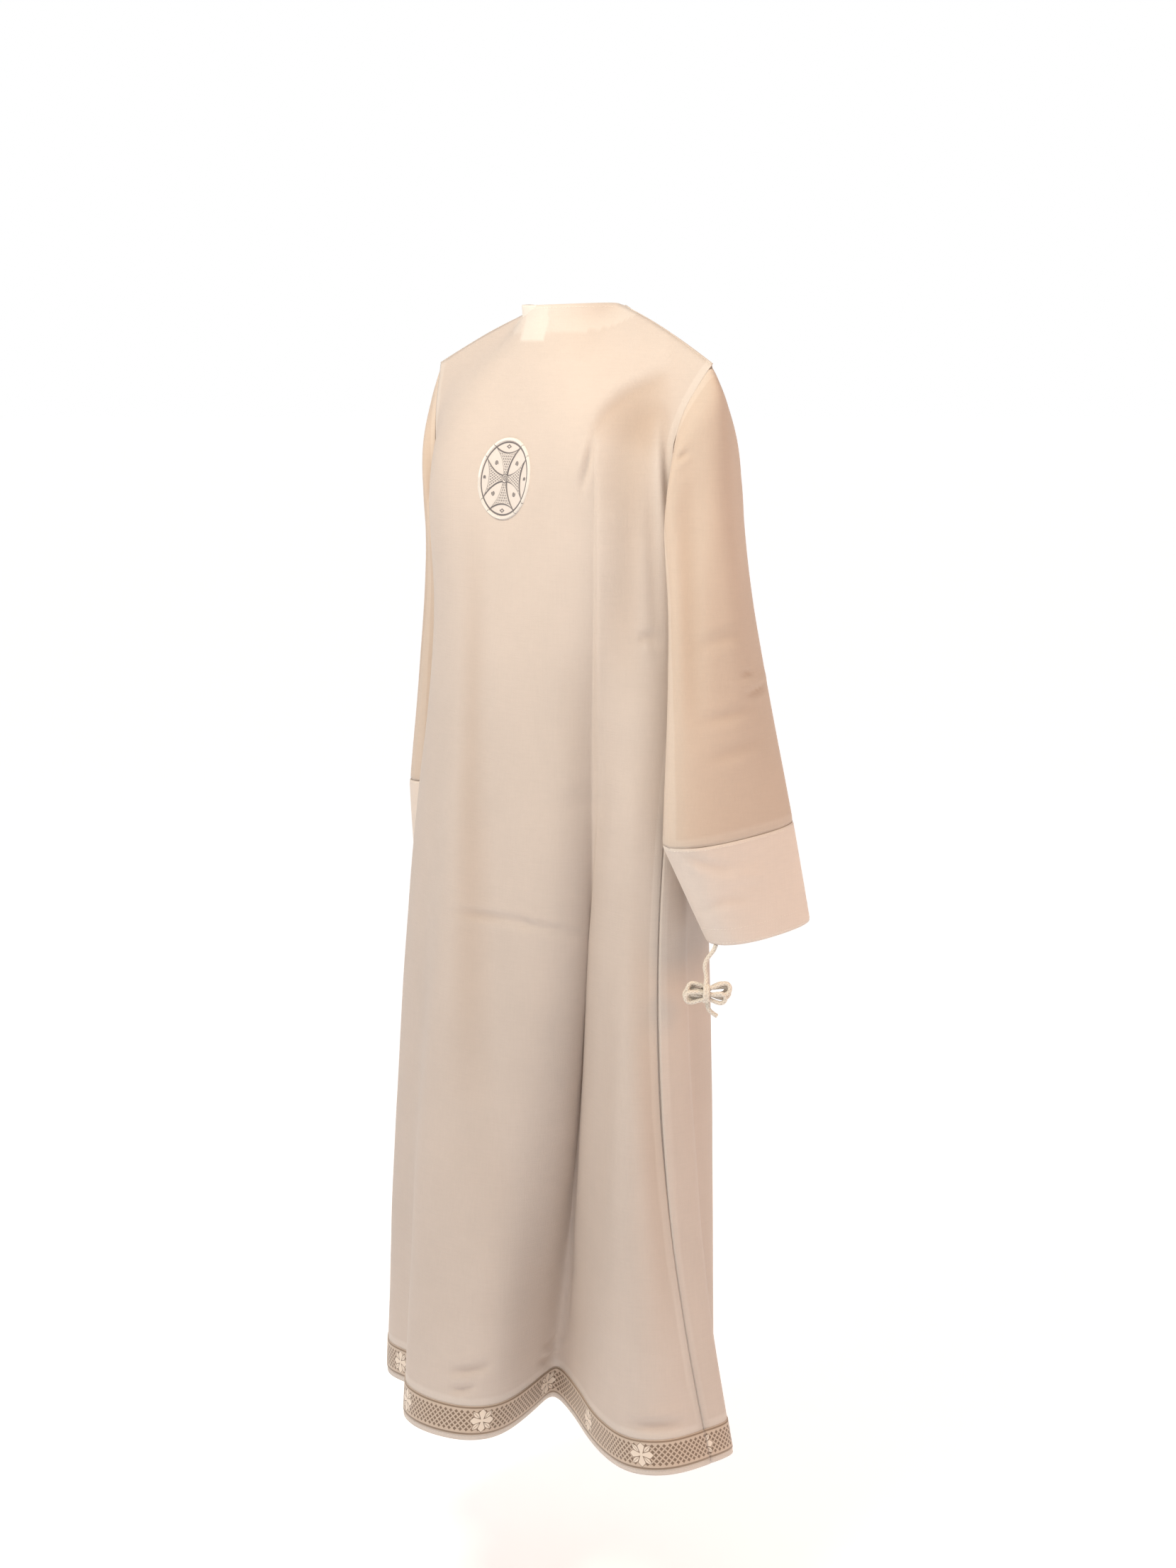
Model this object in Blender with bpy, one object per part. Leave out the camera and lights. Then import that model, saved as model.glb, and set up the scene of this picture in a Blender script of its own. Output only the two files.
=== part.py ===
# A child's alb of fine white crepe, in the hollow form it keeps when it is worn.
# Metres, +Z up. The front faces -Y and the wearer's right is at -X.
# The origin lies midway between the two shoulders, at the height where they hold it.

import math
from collections import namedtuple

import bmesh
import bpy
import numpy as np
from mathutils import Matrix, Vector
from mathutils.bvhtree import BVHTree

# Cloth
WALL = 0.0012  # thickness of a cloth wall
SEAM_TRIM = 0.0003  # each piece stops this short of its seam line
LAY_GAP = 0.0004  # between a piece and the one that it lies on

# Lengths down the body
HEM_Z = -1.0
WAIST_Z = -0.60  # the middle level of the table of folds
ARMPIT_Z = -0.238
HEM_EDGE = 0.005  # plain hem below the woven band
BAND_HEIGHT = 0.028
BAND_WALL = 0.0010

# Section at the armpits: an oval, deeper behind than in front
CHEST_HALF_WIDTH = 0.165
CHEST_BACK = 0.085
CHEST_FRONT = 0.070
SIDE_Y = -0.004

# Neckline: an oval that dips in front
NECK_Y = -0.018
NECK_HALF_WIDTH = 0.054
NECK_HALF_DEPTH = 0.058
NECK_BACK_Z = 0.032
NECK_SIDE_Z = 0.034
NECK_FRONT_Z = -0.012
SHOULDER_TIP = (0.193, -0.002, -0.019)
SHOULDER_RISE = 0.003  # how far the shoulder seam arches above a straight line
NECK_ROUNDING = 1.0  # how quickly a panel leaves its top edge as it comes down
SHOULDER_ROUNDING = 6.0
NECK_SPREAD = 0.7  # under 1 carries the neck's value further towards the shoulders
ROW_CROWDING = 1.8  # over 1 brings the rows closer together near the top

# Rows and columns of the panels
UPPER_ROWS = 10
LOWER_ROWS = 13
BACK_STEPS = 3  # columns between two rows of the table of folds
FRONT_STEPS = 2
SLIT_HALF = 0.00075
SLIT_ROWS = 5
EASING = 8  # passes that even out a panel above the armpits
EASED_BELOW = 3  # rows below the armpits that they reach

# A fold's place around the body: at the armpits by its x on the oval, at the waist and
# the hem by its place in plan. edge is where it meets the panel's top: 0 at one shoulder
# tip, 1 and 2 at the neck points, 3 at the other tip. lift raises the hem there.
Fold = namedtuple("Fold", "name top_x waist_x waist_y hem_x hem_y lift edge")
BACK_FOLDS = (
    Fold("right seam", -0.165, -0.182, 0.046, -0.213, 0.008, 0.0, 0.0),
    Fold("right lobe, side", -0.161, -0.175, 0.061, -0.208, 0.055, 0.0, 0.08),
    Fold("right lobe, crest", -0.152, -0.158, 0.071, -0.180, 0.078, 0.0, 0.20),
    Fold("right lobe, inner", -0.140, -0.127, 0.064, -0.120, 0.066, 0.0, 0.34),
    Fold("valley, right wall", -0.131, -0.100, 0.050, -0.054, 0.038, 0.003, 0.44),
    Fold("valley", -0.122, -0.082, 0.044, -0.016, 0.032, 0.010, 0.54),
    Fold("valley, left wall", -0.112, -0.078, 0.062, -0.026, 0.066, 0.005, 0.65),
    Fold("left lobe, inner", -0.098, -0.072, 0.092, -0.041, 0.120, 0.0, 0.80),
    Fold("left lobe, corner", -0.076, -0.053, 0.111, -0.028, 0.149, 0.0, 1.0),
    Fold("left lobe, crest", -0.040, -0.010, 0.122, 0.018, 0.164, 0.0, 1.25),
    Fold("left lobe, outer", 0.004, 0.045, 0.123, 0.062, 0.152, 0.0, 1.52),
    Fold("far valley", 0.070, 0.088, 0.102, 0.094, 0.114, 0.004, 2.0),
    Fold("far lobe, crest", 0.110, 0.130, 0.090, 0.148, 0.106, 0.0, 2.42),
    Fold("far lobe, side", 0.143, 0.166, 0.067, 0.186, 0.074, 0.0, 2.74),
    Fold("left seam", 0.165, 0.182, 0.030, 0.207, 0.020, 0.0, 3.0),
)
FRONT_FOLDS = (
    Fold("left seam", 0.165, 0.182, 0.030, 0.207, 0.020, 0.0, 0.0),
    Fold("left side lobe", 0.160, 0.185, -0.004, 0.213, -0.028, 0.0, 0.10),
    Fold("left side valley", 0.148, 0.163, -0.038, 0.180, -0.056, 0.003, 0.26),
    Fold("front lobe one", 0.128, 0.148, -0.074, 0.164, -0.114, 0.0, 0.48),
    Fold("front valley one", 0.100, 0.111, -0.078, 0.118, -0.096, 0.004, 0.74),
    Fold("front lobe two", 0.068, 0.076, -0.100, 0.080, -0.148, 0.0, 1.0),
    Fold("front valley two", 0.034, 0.037, -0.088, 0.038, -0.110, 0.004, 1.25),
    Fold("front lobe three", 0.0, -0.003, -0.100, -0.008, -0.146, 0.0, 1.50),
    Fold("front valley three", -0.034, -0.040, -0.083, -0.044, -0.100, 0.003, 1.75),
    Fold("front lobe four", -0.068, -0.079, -0.088, -0.086, -0.106, 0.0, 2.0),
    Fold("front valley four", -0.104, -0.114, -0.064, -0.118, -0.068, 0.003, 2.34),
    Fold("front strip", -0.134, -0.148, -0.048, -0.150, -0.054, 0.0, 2.62),
    Fold("right side valley", -0.151, -0.154, -0.012, -0.160, -0.024, 0.002, 2.82),
    Fold("right side lobe", -0.160, -0.184, 0.012, -0.206, -0.029, 0.0, 2.92),
    Fold("right seam", -0.165, -0.182, 0.046, -0.213, 0.008, 0.0, 3.0),
)

# Armhole, from the armpit up to the shoulder tip: distance out, y and z
ARMPIT = (CHEST_HALF_WIDTH, SIDE_Y, ARMPIT_Z)
BACK_ARMHOLE = (
    ARMPIT,
    (0.167, 0.014, -0.205),
    (0.168, 0.021, -0.140),
    (0.173, 0.020, -0.070),
    SHOULDER_TIP,
)
FRONT_ARMHOLE = (
    ARMPIT,
    (0.162, -0.034, -0.205),
    (0.157, -0.048, -0.140),
    (0.168, -0.036, -0.065),
    SHOULDER_TIP,
)

# A sleeve's end, a cuff's mouth: flattened ovals, long from front to back
Mouth = namedtuple("Mouth", "out y z half_depth half_width slope")
SLEEVE_ROWS = 10
SLEEVE_CROWDING = 1.25  # over 1 brings the sleeve's rows closer together near its head
CUFF_ROWS = 3
OVAL_POWER = 0.85  # under 1 makes the oval's ends fuller
SLEEVE_BULGE = 0.009  # fullness of the sleeve's head
BULGE_BESIDE = 0.6  # share of the fullness in front and behind
CAP_PLACE = 0.09  # how far down the sleeve that fullness is largest
UNDERARM_GAP = 0.0010  # where the sleeve leaves the side seam
FACING_EACH_OTHER = -0.2  # cosine past which two normals aren't of one surface
Arm = namedtuple("Arm", "name side seam mouth")
ARMS = (
    Arm(
        "right",
        -1,
        Mouth(0.218, -0.001, -0.422, 0.070, 0.030, 0.08),
        Mouth(0.224, -0.034, -0.512, 0.0545, 0.027, 0.10),
    ),
    Arm(
        "left",
        1,
        Mouth(0.216, -0.052, -0.422, 0.070, 0.030, 0.08),
        Mouth(0.226, -0.049, -0.512, 0.0545, 0.027, 0.10),
    ),
)

# Inside the back neck
FACING_WALL = 0.0010
FACING_ROWS = (0.04, 1.0, 2.0, 3.0)  # counted in rows of the back panel
FACING_REACH = 1  # columns past the neck points
LABEL_WIDTH = 0.036
LABEL_HEIGHT = 0.032
LABEL_DROP = 0.002
LABEL_WALL = 0.0010
LABEL_GAP = 0.0010
LABEL_LEAN = (0.45, 0.9)  # how far it runs back and down from the neckline
LABEL_ROWS = 5
LABEL_COLUMNS = 4

FAR_OFF = 0.3  # outside the garment, from where pieces are laid on it

# Round embroidered patch on the back
PATCH_RADIUS = 0.0365
PATCH_Z = -0.122
PATCH_WALL = 0.0011
PATCH_RIM = 0.0017  # thickness of its stitched rim
PATCH_RIM_WIDTH = 0.0035
PATCH_GAP = 0.0006  # enough to clear the ridges between the back's facets
PATCH_SIDES = 28
PATCH_RINGS = (0.12, 0.32, 0.52, 0.70, 0.86, 1.0)  # shares of the plain field's radius
PATCH_ROUNDING = 0.001  # width of the rim's rounded edge
RIM_EDGE = 0.6  # thickness at the very edge, as a share of the rim's

# Neck slit's button and its loop
BUTTON_RADIUS = 0.005
BUTTON_HEIGHT = 0.0022
BUTTON_X = -0.0075
BUTTON_Z = -0.026
LOOP_THICK = 0.0012
LOOP_POINTS = 15
LOOP_REACH = math.radians(100)  # how far each arm of the loop goes round the button
LOOP_FEET_X = -0.0015  # where the loop's feet are sewn down
LOOP_FEET = 0.7  # height of the feet, as a share of the loop's
BUTTON_TAPER = 0.86
BUTTON_SIDES = 20

# Cuff cords, measured from the point where a cord leaves its cuff
CORD_THICK = 0.0038
CORD_SAMPLES = 22
CORD_INSET = 0.0026  # from the cuff's back corner to the cord's middle
CORD_CLEARANCE = 0.0006
CORD_ROUTE = (
    (0.0, 0.0, 0.0),
    (-0.0018, 0.0, -0.005),
    (-0.0060, 0.001, -0.0105),
    (-0.0092, 0.001, -0.0165),
    (-0.0092, 0.001, -0.0230),
    (-0.0078, 0.0005, -0.0285),
    (-0.0075, 0.0, -0.0333),
)
HANK_DROP = 0.0428  # from the exit down to the middle of the hank
HANK_SHIFT = -0.0075
HANK_LONG = 0.044
HANK_TALL = 0.024
HANK_THICK = 0.013
HANK_WAIST = 0.30  # how far the outline is pulled in at the knot
HANK_KNOT = 0.006  # how far along the hank that reaches
HANK_EDGE = 0.2  # rounding of its edges, as a share of its thickness
HANK_SIDES = 28
TAIL_ROUTE = (
    (-0.0075, 0.0, -0.0523),
    (-0.0070, 0.0, -0.0560),
    (-0.0040, 0.001, -0.0600),
    (0.0015, 0.001, -0.0640),
)
TAIL_SAMPLES = 9
HANK_YAW = math.radians(50)  # the loops spread this far from straight back

WHITE = (0.86, 0.80, 0.73)


def new_material(name, colour, roughness):
    material = bpy.data.materials.new(name)
    material.use_nodes = True
    shader = material.node_tree.nodes["Principled BSDF"]
    shader.inputs["Base Color"].default_value = (*colour, 1.0)
    shader.inputs["Roughness"].default_value = roughness
    return material


def unit(vectors):
    length = np.linalg.norm(vectors, axis=-1, keepdims=True)
    return vectors / np.maximum(length, 1e-9)


def between(a, b, start, end, t):
    return a + (b - a) * (t - start) / (end - start)


def curve_through(points, places, closed=False):
    # A centripetal Catmull-Rom curve: place 2.5 is halfway between points 2 and 3.
    points = np.asarray(points, float)
    count = len(points)
    result = []
    for place in places:
        i = int(math.floor(place)) if closed else min(int(place), count - 2)
        if closed:
            p = [points[(i + k) % count] for k in (-1, 0, 1, 2)]
        else:
            first = points[i - 1] if i > 0 else 2 * points[0] - points[1]
            last = points[i + 2] if i + 2 < count else 2 * points[-1] - points[-2]
            p = [first, points[i], points[i + 1], last]
        knots = [0.0]
        for a, b in zip(p, p[1:]):
            knots.append(knots[-1] + max(np.linalg.norm(b - a), 1e-6) ** 0.5)
        t = knots[1] + (place - i) * (knots[2] - knots[1])
        p = [between(p[k], p[k + 1], knots[k], knots[k + 1], t) for k in range(3)]
        p = [between(p[k], p[k + 1], knots[k], knots[k + 2], t) for k in range(2)]
        result.append(between(p[0], p[1], knots[1], knots[2], t))
    return np.array(result)


def chest_point(top_x, behind):
    # A point of the oval section at the armpits.
    depth = CHEST_BACK if behind else -CHEST_FRONT
    across = min(1.0, abs(top_x) / CHEST_HALF_WIDTH)
    return np.array([top_x, SIDE_Y + (depth - SIDE_Y) * math.sqrt(1 - across * across)])


def fold_point(fold, behind, part):
    # A fold's line from the armpits (part 0) through the waist to the hem (part 1).
    top = chest_point(fold.top_x, behind)
    waist = np.array([fold.waist_x, fold.waist_y])
    hem = np.array([fold.hem_x, fold.hem_y])
    middle = (ARMPIT_Z - WAIST_Z) / (ARMPIT_Z - HEM_Z)
    plan = (
        top * (part - middle) * (part - 1) / middle
        + waist * part * (part - 1) / (middle * (middle - 1))
        + hem * part * (part - middle) / (1 - middle)
    )
    z = ARMPIT_Z + part * (HEM_Z + fold.lift - ARMPIT_Z)
    return np.array([plan[0], plan[1], z])


def neck_point(turn):
    # turn is 0 at the wearer's right, a quarter at the back, a half at the left.
    angle = 2 * math.pi * turn
    x, y = -NECK_HALF_WIDTH * math.cos(angle), math.sin(angle)
    end = NECK_BACK_Z if y > 0 else NECK_FRONT_Z
    z = NECK_SIDE_Z + (end - NECK_SIDE_Z) * y * y
    return np.array([x, NECK_Y + NECK_HALF_DEPTH * y, z])


def shoulder_point(side, part):
    # part is 0 at the shoulder tip and 1 at the neck.
    tip = np.array([side * SHOULDER_TIP[0], SHOULDER_TIP[1], SHOULDER_TIP[2]])
    neck = neck_point(0.0 if side < 0 else 0.5)
    point = tip + (neck - tip) * part
    point[2] += SHOULDER_RISE * math.sin(math.pi * part)
    return point


def top_edge(edge, behind):
    # The back's top edge runs from the right tip to the left one, the front's the other way.
    first = -1 if behind else 1
    if edge <= 1:
        return shoulder_point(first, edge)
    if edge >= 2:
        return shoulder_point(-first, 3 - edge)
    turn = (edge - 1) / 2
    return neck_point(turn if behind else 0.5 + turn)


def armhole(points, side):
    line = np.array([(side * out, y, z) for out, y, z in points])
    return curve_through(line, np.linspace(0, len(points) - 1, UPPER_ROWS + 1))


def eased(grid):
    # Evens out a panel's upper stretch and the step below it; its edges stay as they are.
    last = UPPER_ROWS + EASED_BELOW
    for _ in range(EASING):
        around = grid[: last - 1, 1:-1] + grid[2 : last + 1, 1:-1] + grid[1:last, :-2] + grid[1:last, 2:]
        grid[1:last, 1:-1] = 0.5 * grid[1:last, 1:-1] + 0.125 * around
    return grid


def with_slit(grid, at):
    # Two columns in place of one, a slit's width apart.
    middle = grid[:, at]
    before = middle + unit(grid[:, at - 1] - middle) * SLIT_HALF
    after = middle + unit(grid[:, at + 1] - middle) * SLIT_HALF
    return np.concatenate([grid[:, :at], before[:, None], after[:, None], grid[:, at + 1 :]], axis=1)


def body_surface():
    # All round the body below the armpits, then each panel from there up to its top edge.
    folds = [(f, True) for f in BACK_FOLDS[:-1]] + [(f, False) for f in FRONT_FOLDS[:-1]]
    back_places = np.linspace(0, len(BACK_FOLDS) - 1, (len(BACK_FOLDS) - 1) * BACK_STEPS + 1)
    front_places = np.linspace(0, len(FRONT_FOLDS) - 1, (len(FRONT_FOLDS) - 1) * FRONT_STEPS + 1)
    slit = [f.name for f in FRONT_FOLDS].index("front lobe three") * FRONT_STEPS
    long = ARMPIT_Z - HEM_Z
    above_band = np.linspace(0, 1 - (BAND_HEIGHT + HEM_EDGE) / long, LOWER_ROWS + 1)
    parts = [*above_band, 1 - HEM_EDGE / long, 1.0]
    panels = {}
    for name, table, places, behind, offset in (
        ("back", BACK_FOLDS, back_places, True, 0),
        ("front", FRONT_FOLDS, front_places, False, len(BACK_FOLDS) - 1),
    ):
        lower = []
        for part in parts:
            ring = [fold_point(f, b, part) for f, b in folds]
            lower.append(curve_through(ring, places + offset, closed=True))
        lower = np.array(lower)
        edges = np.interp(places, range(len(table)), [f.edge for f in table])
        top = np.array([top_edge(e, behind) for e in edges])
        first, last = (-1, 1) if behind else (1, -1)
        hole = BACK_ARMHOLE if behind else FRONT_ARMHOLE
        start, end = armhole(hole, first), armhole(hole, last)
        across = (edges / 3)[:, None]
        middle = np.sin(math.pi * np.clip(edges - 1, 0, 1)) ** NECK_SPREAD
        power = SHOULDER_ROUNDING + (NECK_ROUNDING - SHOULDER_ROUNDING) * middle
        upper = []
        for k in range(UPPER_ROWS, 0, -1):
            up = 1 - (1 - k / UPPER_ROWS) ** ROW_CROWDING
            rise = np.stack([up ** power, up ** power, np.full(len(places), up)], axis=1)
            row = (1 - rise) * lower[0] + rise * top
            row += (1 - across) ** 3 * (start[k] - row[0]) + across ** 3 * (end[k] - row[-1])
            upper.append(row)
        panels[name] = eased(np.concatenate([np.array(upper), lower]))
    panels["front"] = with_slit(panels["front"], slit)
    return panels, slit


def oval(mouth, side, places, count):
    angle = 2 * math.pi * places / count
    c, s = np.cos(angle), np.sin(angle)
    c, s = np.sign(c) * abs(c) ** OVAL_POWER, np.sign(s) * abs(s) ** OVAL_POWER
    out = mouth.out - mouth.half_width * c
    y = mouth.y + mouth.half_depth * s
    z = mouth.z - mouth.slope * mouth.half_depth * s
    return np.stack([side * out, y, z], axis=1)


def sleeve_surface(arm):
    # From the armhole's ring, armpit first and then the back, down to the cuff's seam.
    back, front = armhole(BACK_ARMHOLE, arm.side), armhole(FRONT_ARMHOLE, arm.side)
    ring = np.concatenate([back, front[-2:0:-1]])
    count = len(ring)
    places = np.arange(count)
    end = oval(arm.seam, arm.side, places, count)
    angle = 2 * math.pi * places / count
    outward = np.stack([arm.side * np.maximum(-np.cos(angle), 0), np.sin(angle), np.zeros(count)], axis=1)
    weight = (0.5 - 0.5 * np.cos(angle) + BULGE_BESIDE * np.abs(np.sin(angle)))[:, None]
    under = np.maximum(np.cos(angle), 0) ** 2
    ring[:, 0] += arm.side * UNDERARM_GAP * under
    rows = []
    for t in np.linspace(0, 1, SLEEVE_ROWS + 1) ** SLEEVE_CROWDING:
        cap = t / CAP_PLACE * math.exp(1 - t / CAP_PLACE) * (1 - t)
        rows.append(ring + (end - ring) * t + outward * weight * SLEEVE_BULGE * cap)
    return np.array(rows)


def cuff_surface(arm, count):
    places = np.arange(count)
    start, end = oval(arm.seam, arm.side, places, count), oval(arm.mouth, arm.side, places, count)
    return np.array([start + (end - start) * t for t in np.linspace(0, 1, CUFF_ROWS + 1)])


def surface_normals(grid, closed, outward):
    # One unit normal for each point; outward is the way out at the grid's middle point.
    if closed:
        across = np.roll(grid, -1, axis=1) - np.roll(grid, 1, axis=1)
    else:
        across = np.gradient(grid, axis=1)
    down = np.gradient(grid, axis=0)
    normals = unit(np.cross(across, down))
    mid = tuple(n // 2 for n in grid.shape[:2])
    if np.dot(normals[mid], outward) < 0:
        normals = -normals
    return normals


def share_normals(surfaces):
    # Where pieces meet edge to edge, they share one normal, so that their edges run side by side.
    # Under the arm the sleeve and the body face each other, and each keeps its own.
    meeting = {}
    for grid, normals in surfaces.values():
        for point, normal in zip(grid.reshape(-1, 3), normals.reshape(-1, 3).copy()):
            meeting.setdefault(tuple(np.round(point, 6)), []).append(normal)
    for grid, normals in surfaces.values():
        flat = normals.reshape(-1, 3)
        for i, point in enumerate(grid.reshape(-1, 3)):
            near = [n for n in meeting[tuple(np.round(point, 6))] if np.dot(n, flat[i]) > FACING_EACH_OTHER]
            flat[i] = unit(np.sum(near, axis=0))


def set_ridge_normals(surfaces):
    # Along a shoulder seam the two panels have different columns, so both take the ridge's own normal.
    for side in (-1, 1):
        tip, neck = shoulder_point(side, 0.0), shoulder_point(side, 1.0)
        along = unit(neck - tip)
        ridge = unit(np.array([0.0, 0.0, 1.0]) - along * along[2])
        for grid, normals in surfaces.values():
            row = grid[0]
            near = (row[:, 0] * side > NECK_HALF_WIDTH - 1e-6) & (row[:, 2] > tip[2] - 1e-6)
            normals[0][near] = ridge


def trimmed(grid, closed, keep_bottom=False, keep_top=False):
    # The piece's edges, drawn back from the seam lines.
    out = grid.copy()
    if not keep_top:
        out[0] += unit(grid[1] - grid[0]) * SEAM_TRIM
    if not keep_bottom:
        out[-1] += unit(grid[-2] - grid[-1]) * SEAM_TRIM
    if not closed:
        out[:, 0] += unit(grid[:, 1] - grid[:, 0]) * SEAM_TRIM
        out[:, -1] += unit(grid[:, -2] - grid[:, -1]) * SEAM_TRIM
    return out


def wall(name, outer, inner, material, closed=False, missing=()):
    # A closed wall between two like grids, open where cells are missing.
    rows, columns = outer.shape[:2]
    bm = bmesh.new()
    sheets = [[[bm.verts.new(p) for p in row] for row in grid.tolist()] for grid in (outer, inner)]
    used = {}
    for i in range(rows - 1):
        for j in range(columns if closed else columns - 1):
            if (i, j) in missing:
                continue
            k = (j + 1) % columns
            corners = ((i, j), (i, k), (i + 1, k), (i + 1, j))
            for sheet, turn in zip(sheets, (1, -1)):
                a, b, c, d = (sheet[r][s] for r, s in corners)
                bm.faces.new((a, b, c)[::turn])
                bm.faces.new((a, c, d)[::turn])
            for start, end in zip(corners, corners[1:] + corners[:1]):
                if (end, start) in used:
                    del used[(end, start)]
                else:
                    used[(start, end)] = True
    for start, end in used:
        a, b = sheets[0][start[0]][start[1]], sheets[0][end[0]][end[1]]
        c, d = sheets[1][end[0]][end[1]], sheets[1][start[0]][start[1]]
        bm.faces.new((b, a, d))
        bm.faces.new((b, d, c))
    loose = [v for v in bm.verts if not v.link_faces]
    bmesh.ops.delete(bm, geom=loose, context="VERTS")
    bmesh.ops.recalc_face_normals(bm, faces=bm.faces)
    mesh = bpy.data.meshes.new(name)
    bm.to_mesh(mesh)
    bm.free()
    mesh.shade_smooth()
    mesh.materials.append(material)
    piece = bpy.data.objects.new(name, mesh)
    collection.objects.link(piece)
    return piece


def tree_of(grid):
    rows, columns = grid.shape[:2]
    points = [Vector(p) for p in grid.reshape(-1, 3)]
    triangles = []
    for i in range(rows - 1):
        for j in range(columns - 1):
            a, b, c, d = i * columns + j, i * columns + j + 1, (i + 1) * columns + j + 1, (i + 1) * columns + j
            triangles += [(a, b, c), (a, c, d)]
    return BVHTree.FromPolygons(points, triangles)


def laid_on(tree, points, lift, inside):
    # The points, dropped on a surface and moved off it: outward, or inward when inside is set.
    result = []
    for point in points:
        place, normal, _, _ = tree.find_nearest(Vector(point))
        away = Vector((place.x, place.y - NECK_Y, 0.0))
        if normal.dot(away) < 0:
            normal = -normal
        result.append(np.array(place + normal * (-lift if inside else lift)))
    return np.array(result)


def make_facing(grid, normals, material):
    # It follows the back panel's own columns, so the two stay the same distance apart.
    edges = [f.edge for f in BACK_FOLDS]
    right_neck, left_neck = edges.index(1.0) * BACK_STEPS, edges.index(2.0) * BACK_STEPS
    columns = slice(right_neck - FACING_REACH, left_neck + FACING_REACH + 1)
    sheets = []
    for depth in (WALL + LAY_GAP, WALL + LAY_GAP + FACING_WALL):
        moved = (grid - normals * depth)[:, columns]
        rows = []
        for place in FACING_ROWS:
            row, share = int(place), place - int(place)
            rows.append(moved[row] + (moved[row + 1] - moved[row]) * share)
        sheets.append(np.array(rows))
    wall("neck_facing", sheets[0], sheets[1], material)
    return tree_of(sheets[1])


def make_label(tree, material):
    rows = []
    for down in np.linspace(LABEL_DROP, LABEL_DROP + LABEL_HEIGHT, LABEL_ROWS + 1):
        middle = neck_point(0.25) + down * np.array([0.0, LABEL_LEAN[0], -LABEL_LEAN[1]])
        places = np.linspace(-LABEL_WIDTH / 2, LABEL_WIDTH / 2, LABEL_COLUMNS + 1)
        rows.append([middle + np.array([place, 0.0, 0.0]) for place in places])
    rows = np.array(rows)
    flat = rows.reshape(-1, 3)
    near = laid_on(tree, flat, LABEL_GAP, True).reshape(rows.shape)
    far = laid_on(tree, flat, LABEL_GAP + LABEL_WALL, True).reshape(rows.shape)
    wall("label", near, far, material)


def make_patch(tree, material):
    # Rings of points on the back, seen straight on; the last rings make the stitched rim.
    field = PATCH_RADIUS - PATCH_RIM_WIDTH
    radii = [field * share for share in PATCH_RINGS] + [PATCH_RADIUS - PATCH_ROUNDING, PATCH_RADIUS]
    thick = [PATCH_WALL] * len(PATCH_RINGS) + [PATCH_RIM, PATCH_RIM * RIM_EDGE]
    bm = bmesh.new()
    count = PATCH_SIDES
    sheets = []
    for lifts in ([PATCH_GAP] * len(radii), [PATCH_GAP + t for t in thick]):
        rings = []
        for radius, lift in zip(radii, lifts):
            ring = []
            for k in range(count):
                angle = 2 * math.pi * k / count
                x, z = radius * math.cos(angle), PATCH_Z + radius * math.sin(angle)
                place, normal, _, _ = tree.ray_cast(Vector((x, FAR_OFF, z)), Vector((0, -1, 0)))
                normal = normal if normal.y > 0 else -normal
                ring.append(bm.verts.new(place + normal * lift))
            rings.append(ring)
        sheets.append(rings)
    for rings in sheets:
        bm.faces.new(rings[0])
        for a, b in zip(rings, rings[1:]):
            for k in range(count):
                bm.faces.new((a[k], a[(k + 1) % count], b[(k + 1) % count], b[k]))
    a, b = sheets[0][-1], sheets[1][-1]
    for k in range(count):
        bm.faces.new((a[k], a[(k + 1) % count], b[(k + 1) % count], b[k]))
    bmesh.ops.triangulate(bm, faces=bm.faces)
    bmesh.ops.recalc_face_normals(bm, faces=bm.faces)
    mesh = bpy.data.meshes.new("medallion")
    bm.to_mesh(mesh)
    bm.free()
    mesh.shade_smooth()
    mesh.materials.append(material)
    collection.objects.link(bpy.data.objects.new("medallion", mesh))


def make_tube(name, points, thick, material):
    curve = bpy.data.curves.new(name, "CURVE")
    curve.dimensions = "3D"
    curve.bevel_depth = thick / 2
    curve.bevel_resolution = 2
    curve.use_fill_caps = True
    spline = curve.splines.new("POLY")
    spline.points.add(len(points) - 1)
    for target, point in zip(spline.points, points):
        target.co = (*point, 1.0)
    curve.materials.append(material)
    piece = bpy.data.objects.new(name, curve)
    collection.objects.link(piece)
    return piece


def make_hank(name, place, yaw, material):
    # The cord's tied loops as one solid: a flat outline, drawn in where the knot grips it.
    curve = bpy.data.curves.new(name, "CURVE")
    curve.dimensions = "2D"
    curve.fill_mode = "BOTH"
    curve.bevel_depth = HANK_THICK * HANK_EDGE
    curve.bevel_resolution = 1
    curve.extrude = HANK_THICK / 2 - curve.bevel_depth
    curve.offset = -curve.bevel_depth
    spline = curve.splines.new("POLY")
    spline.points.add(HANK_SIDES - 1)
    for k, target in enumerate(spline.points):
        angle = 2 * math.pi * k / HANK_SIDES
        x = HANK_LONG / 2 * math.cos(angle)
        pinch = 1 - HANK_WAIST * math.exp(-((x / HANK_KNOT) ** 2))
        target.co = (x, HANK_TALL / 2 * math.sin(angle) * pinch, 0.0, 1.0)
    spline.use_cyclic_u = True
    curve.materials.append(material)
    piece = bpy.data.objects.new(name, curve)
    piece.location = place
    piece.rotation_euler = (math.pi / 2, 0.0, yaw)
    collection.objects.link(piece)
    return piece


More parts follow.
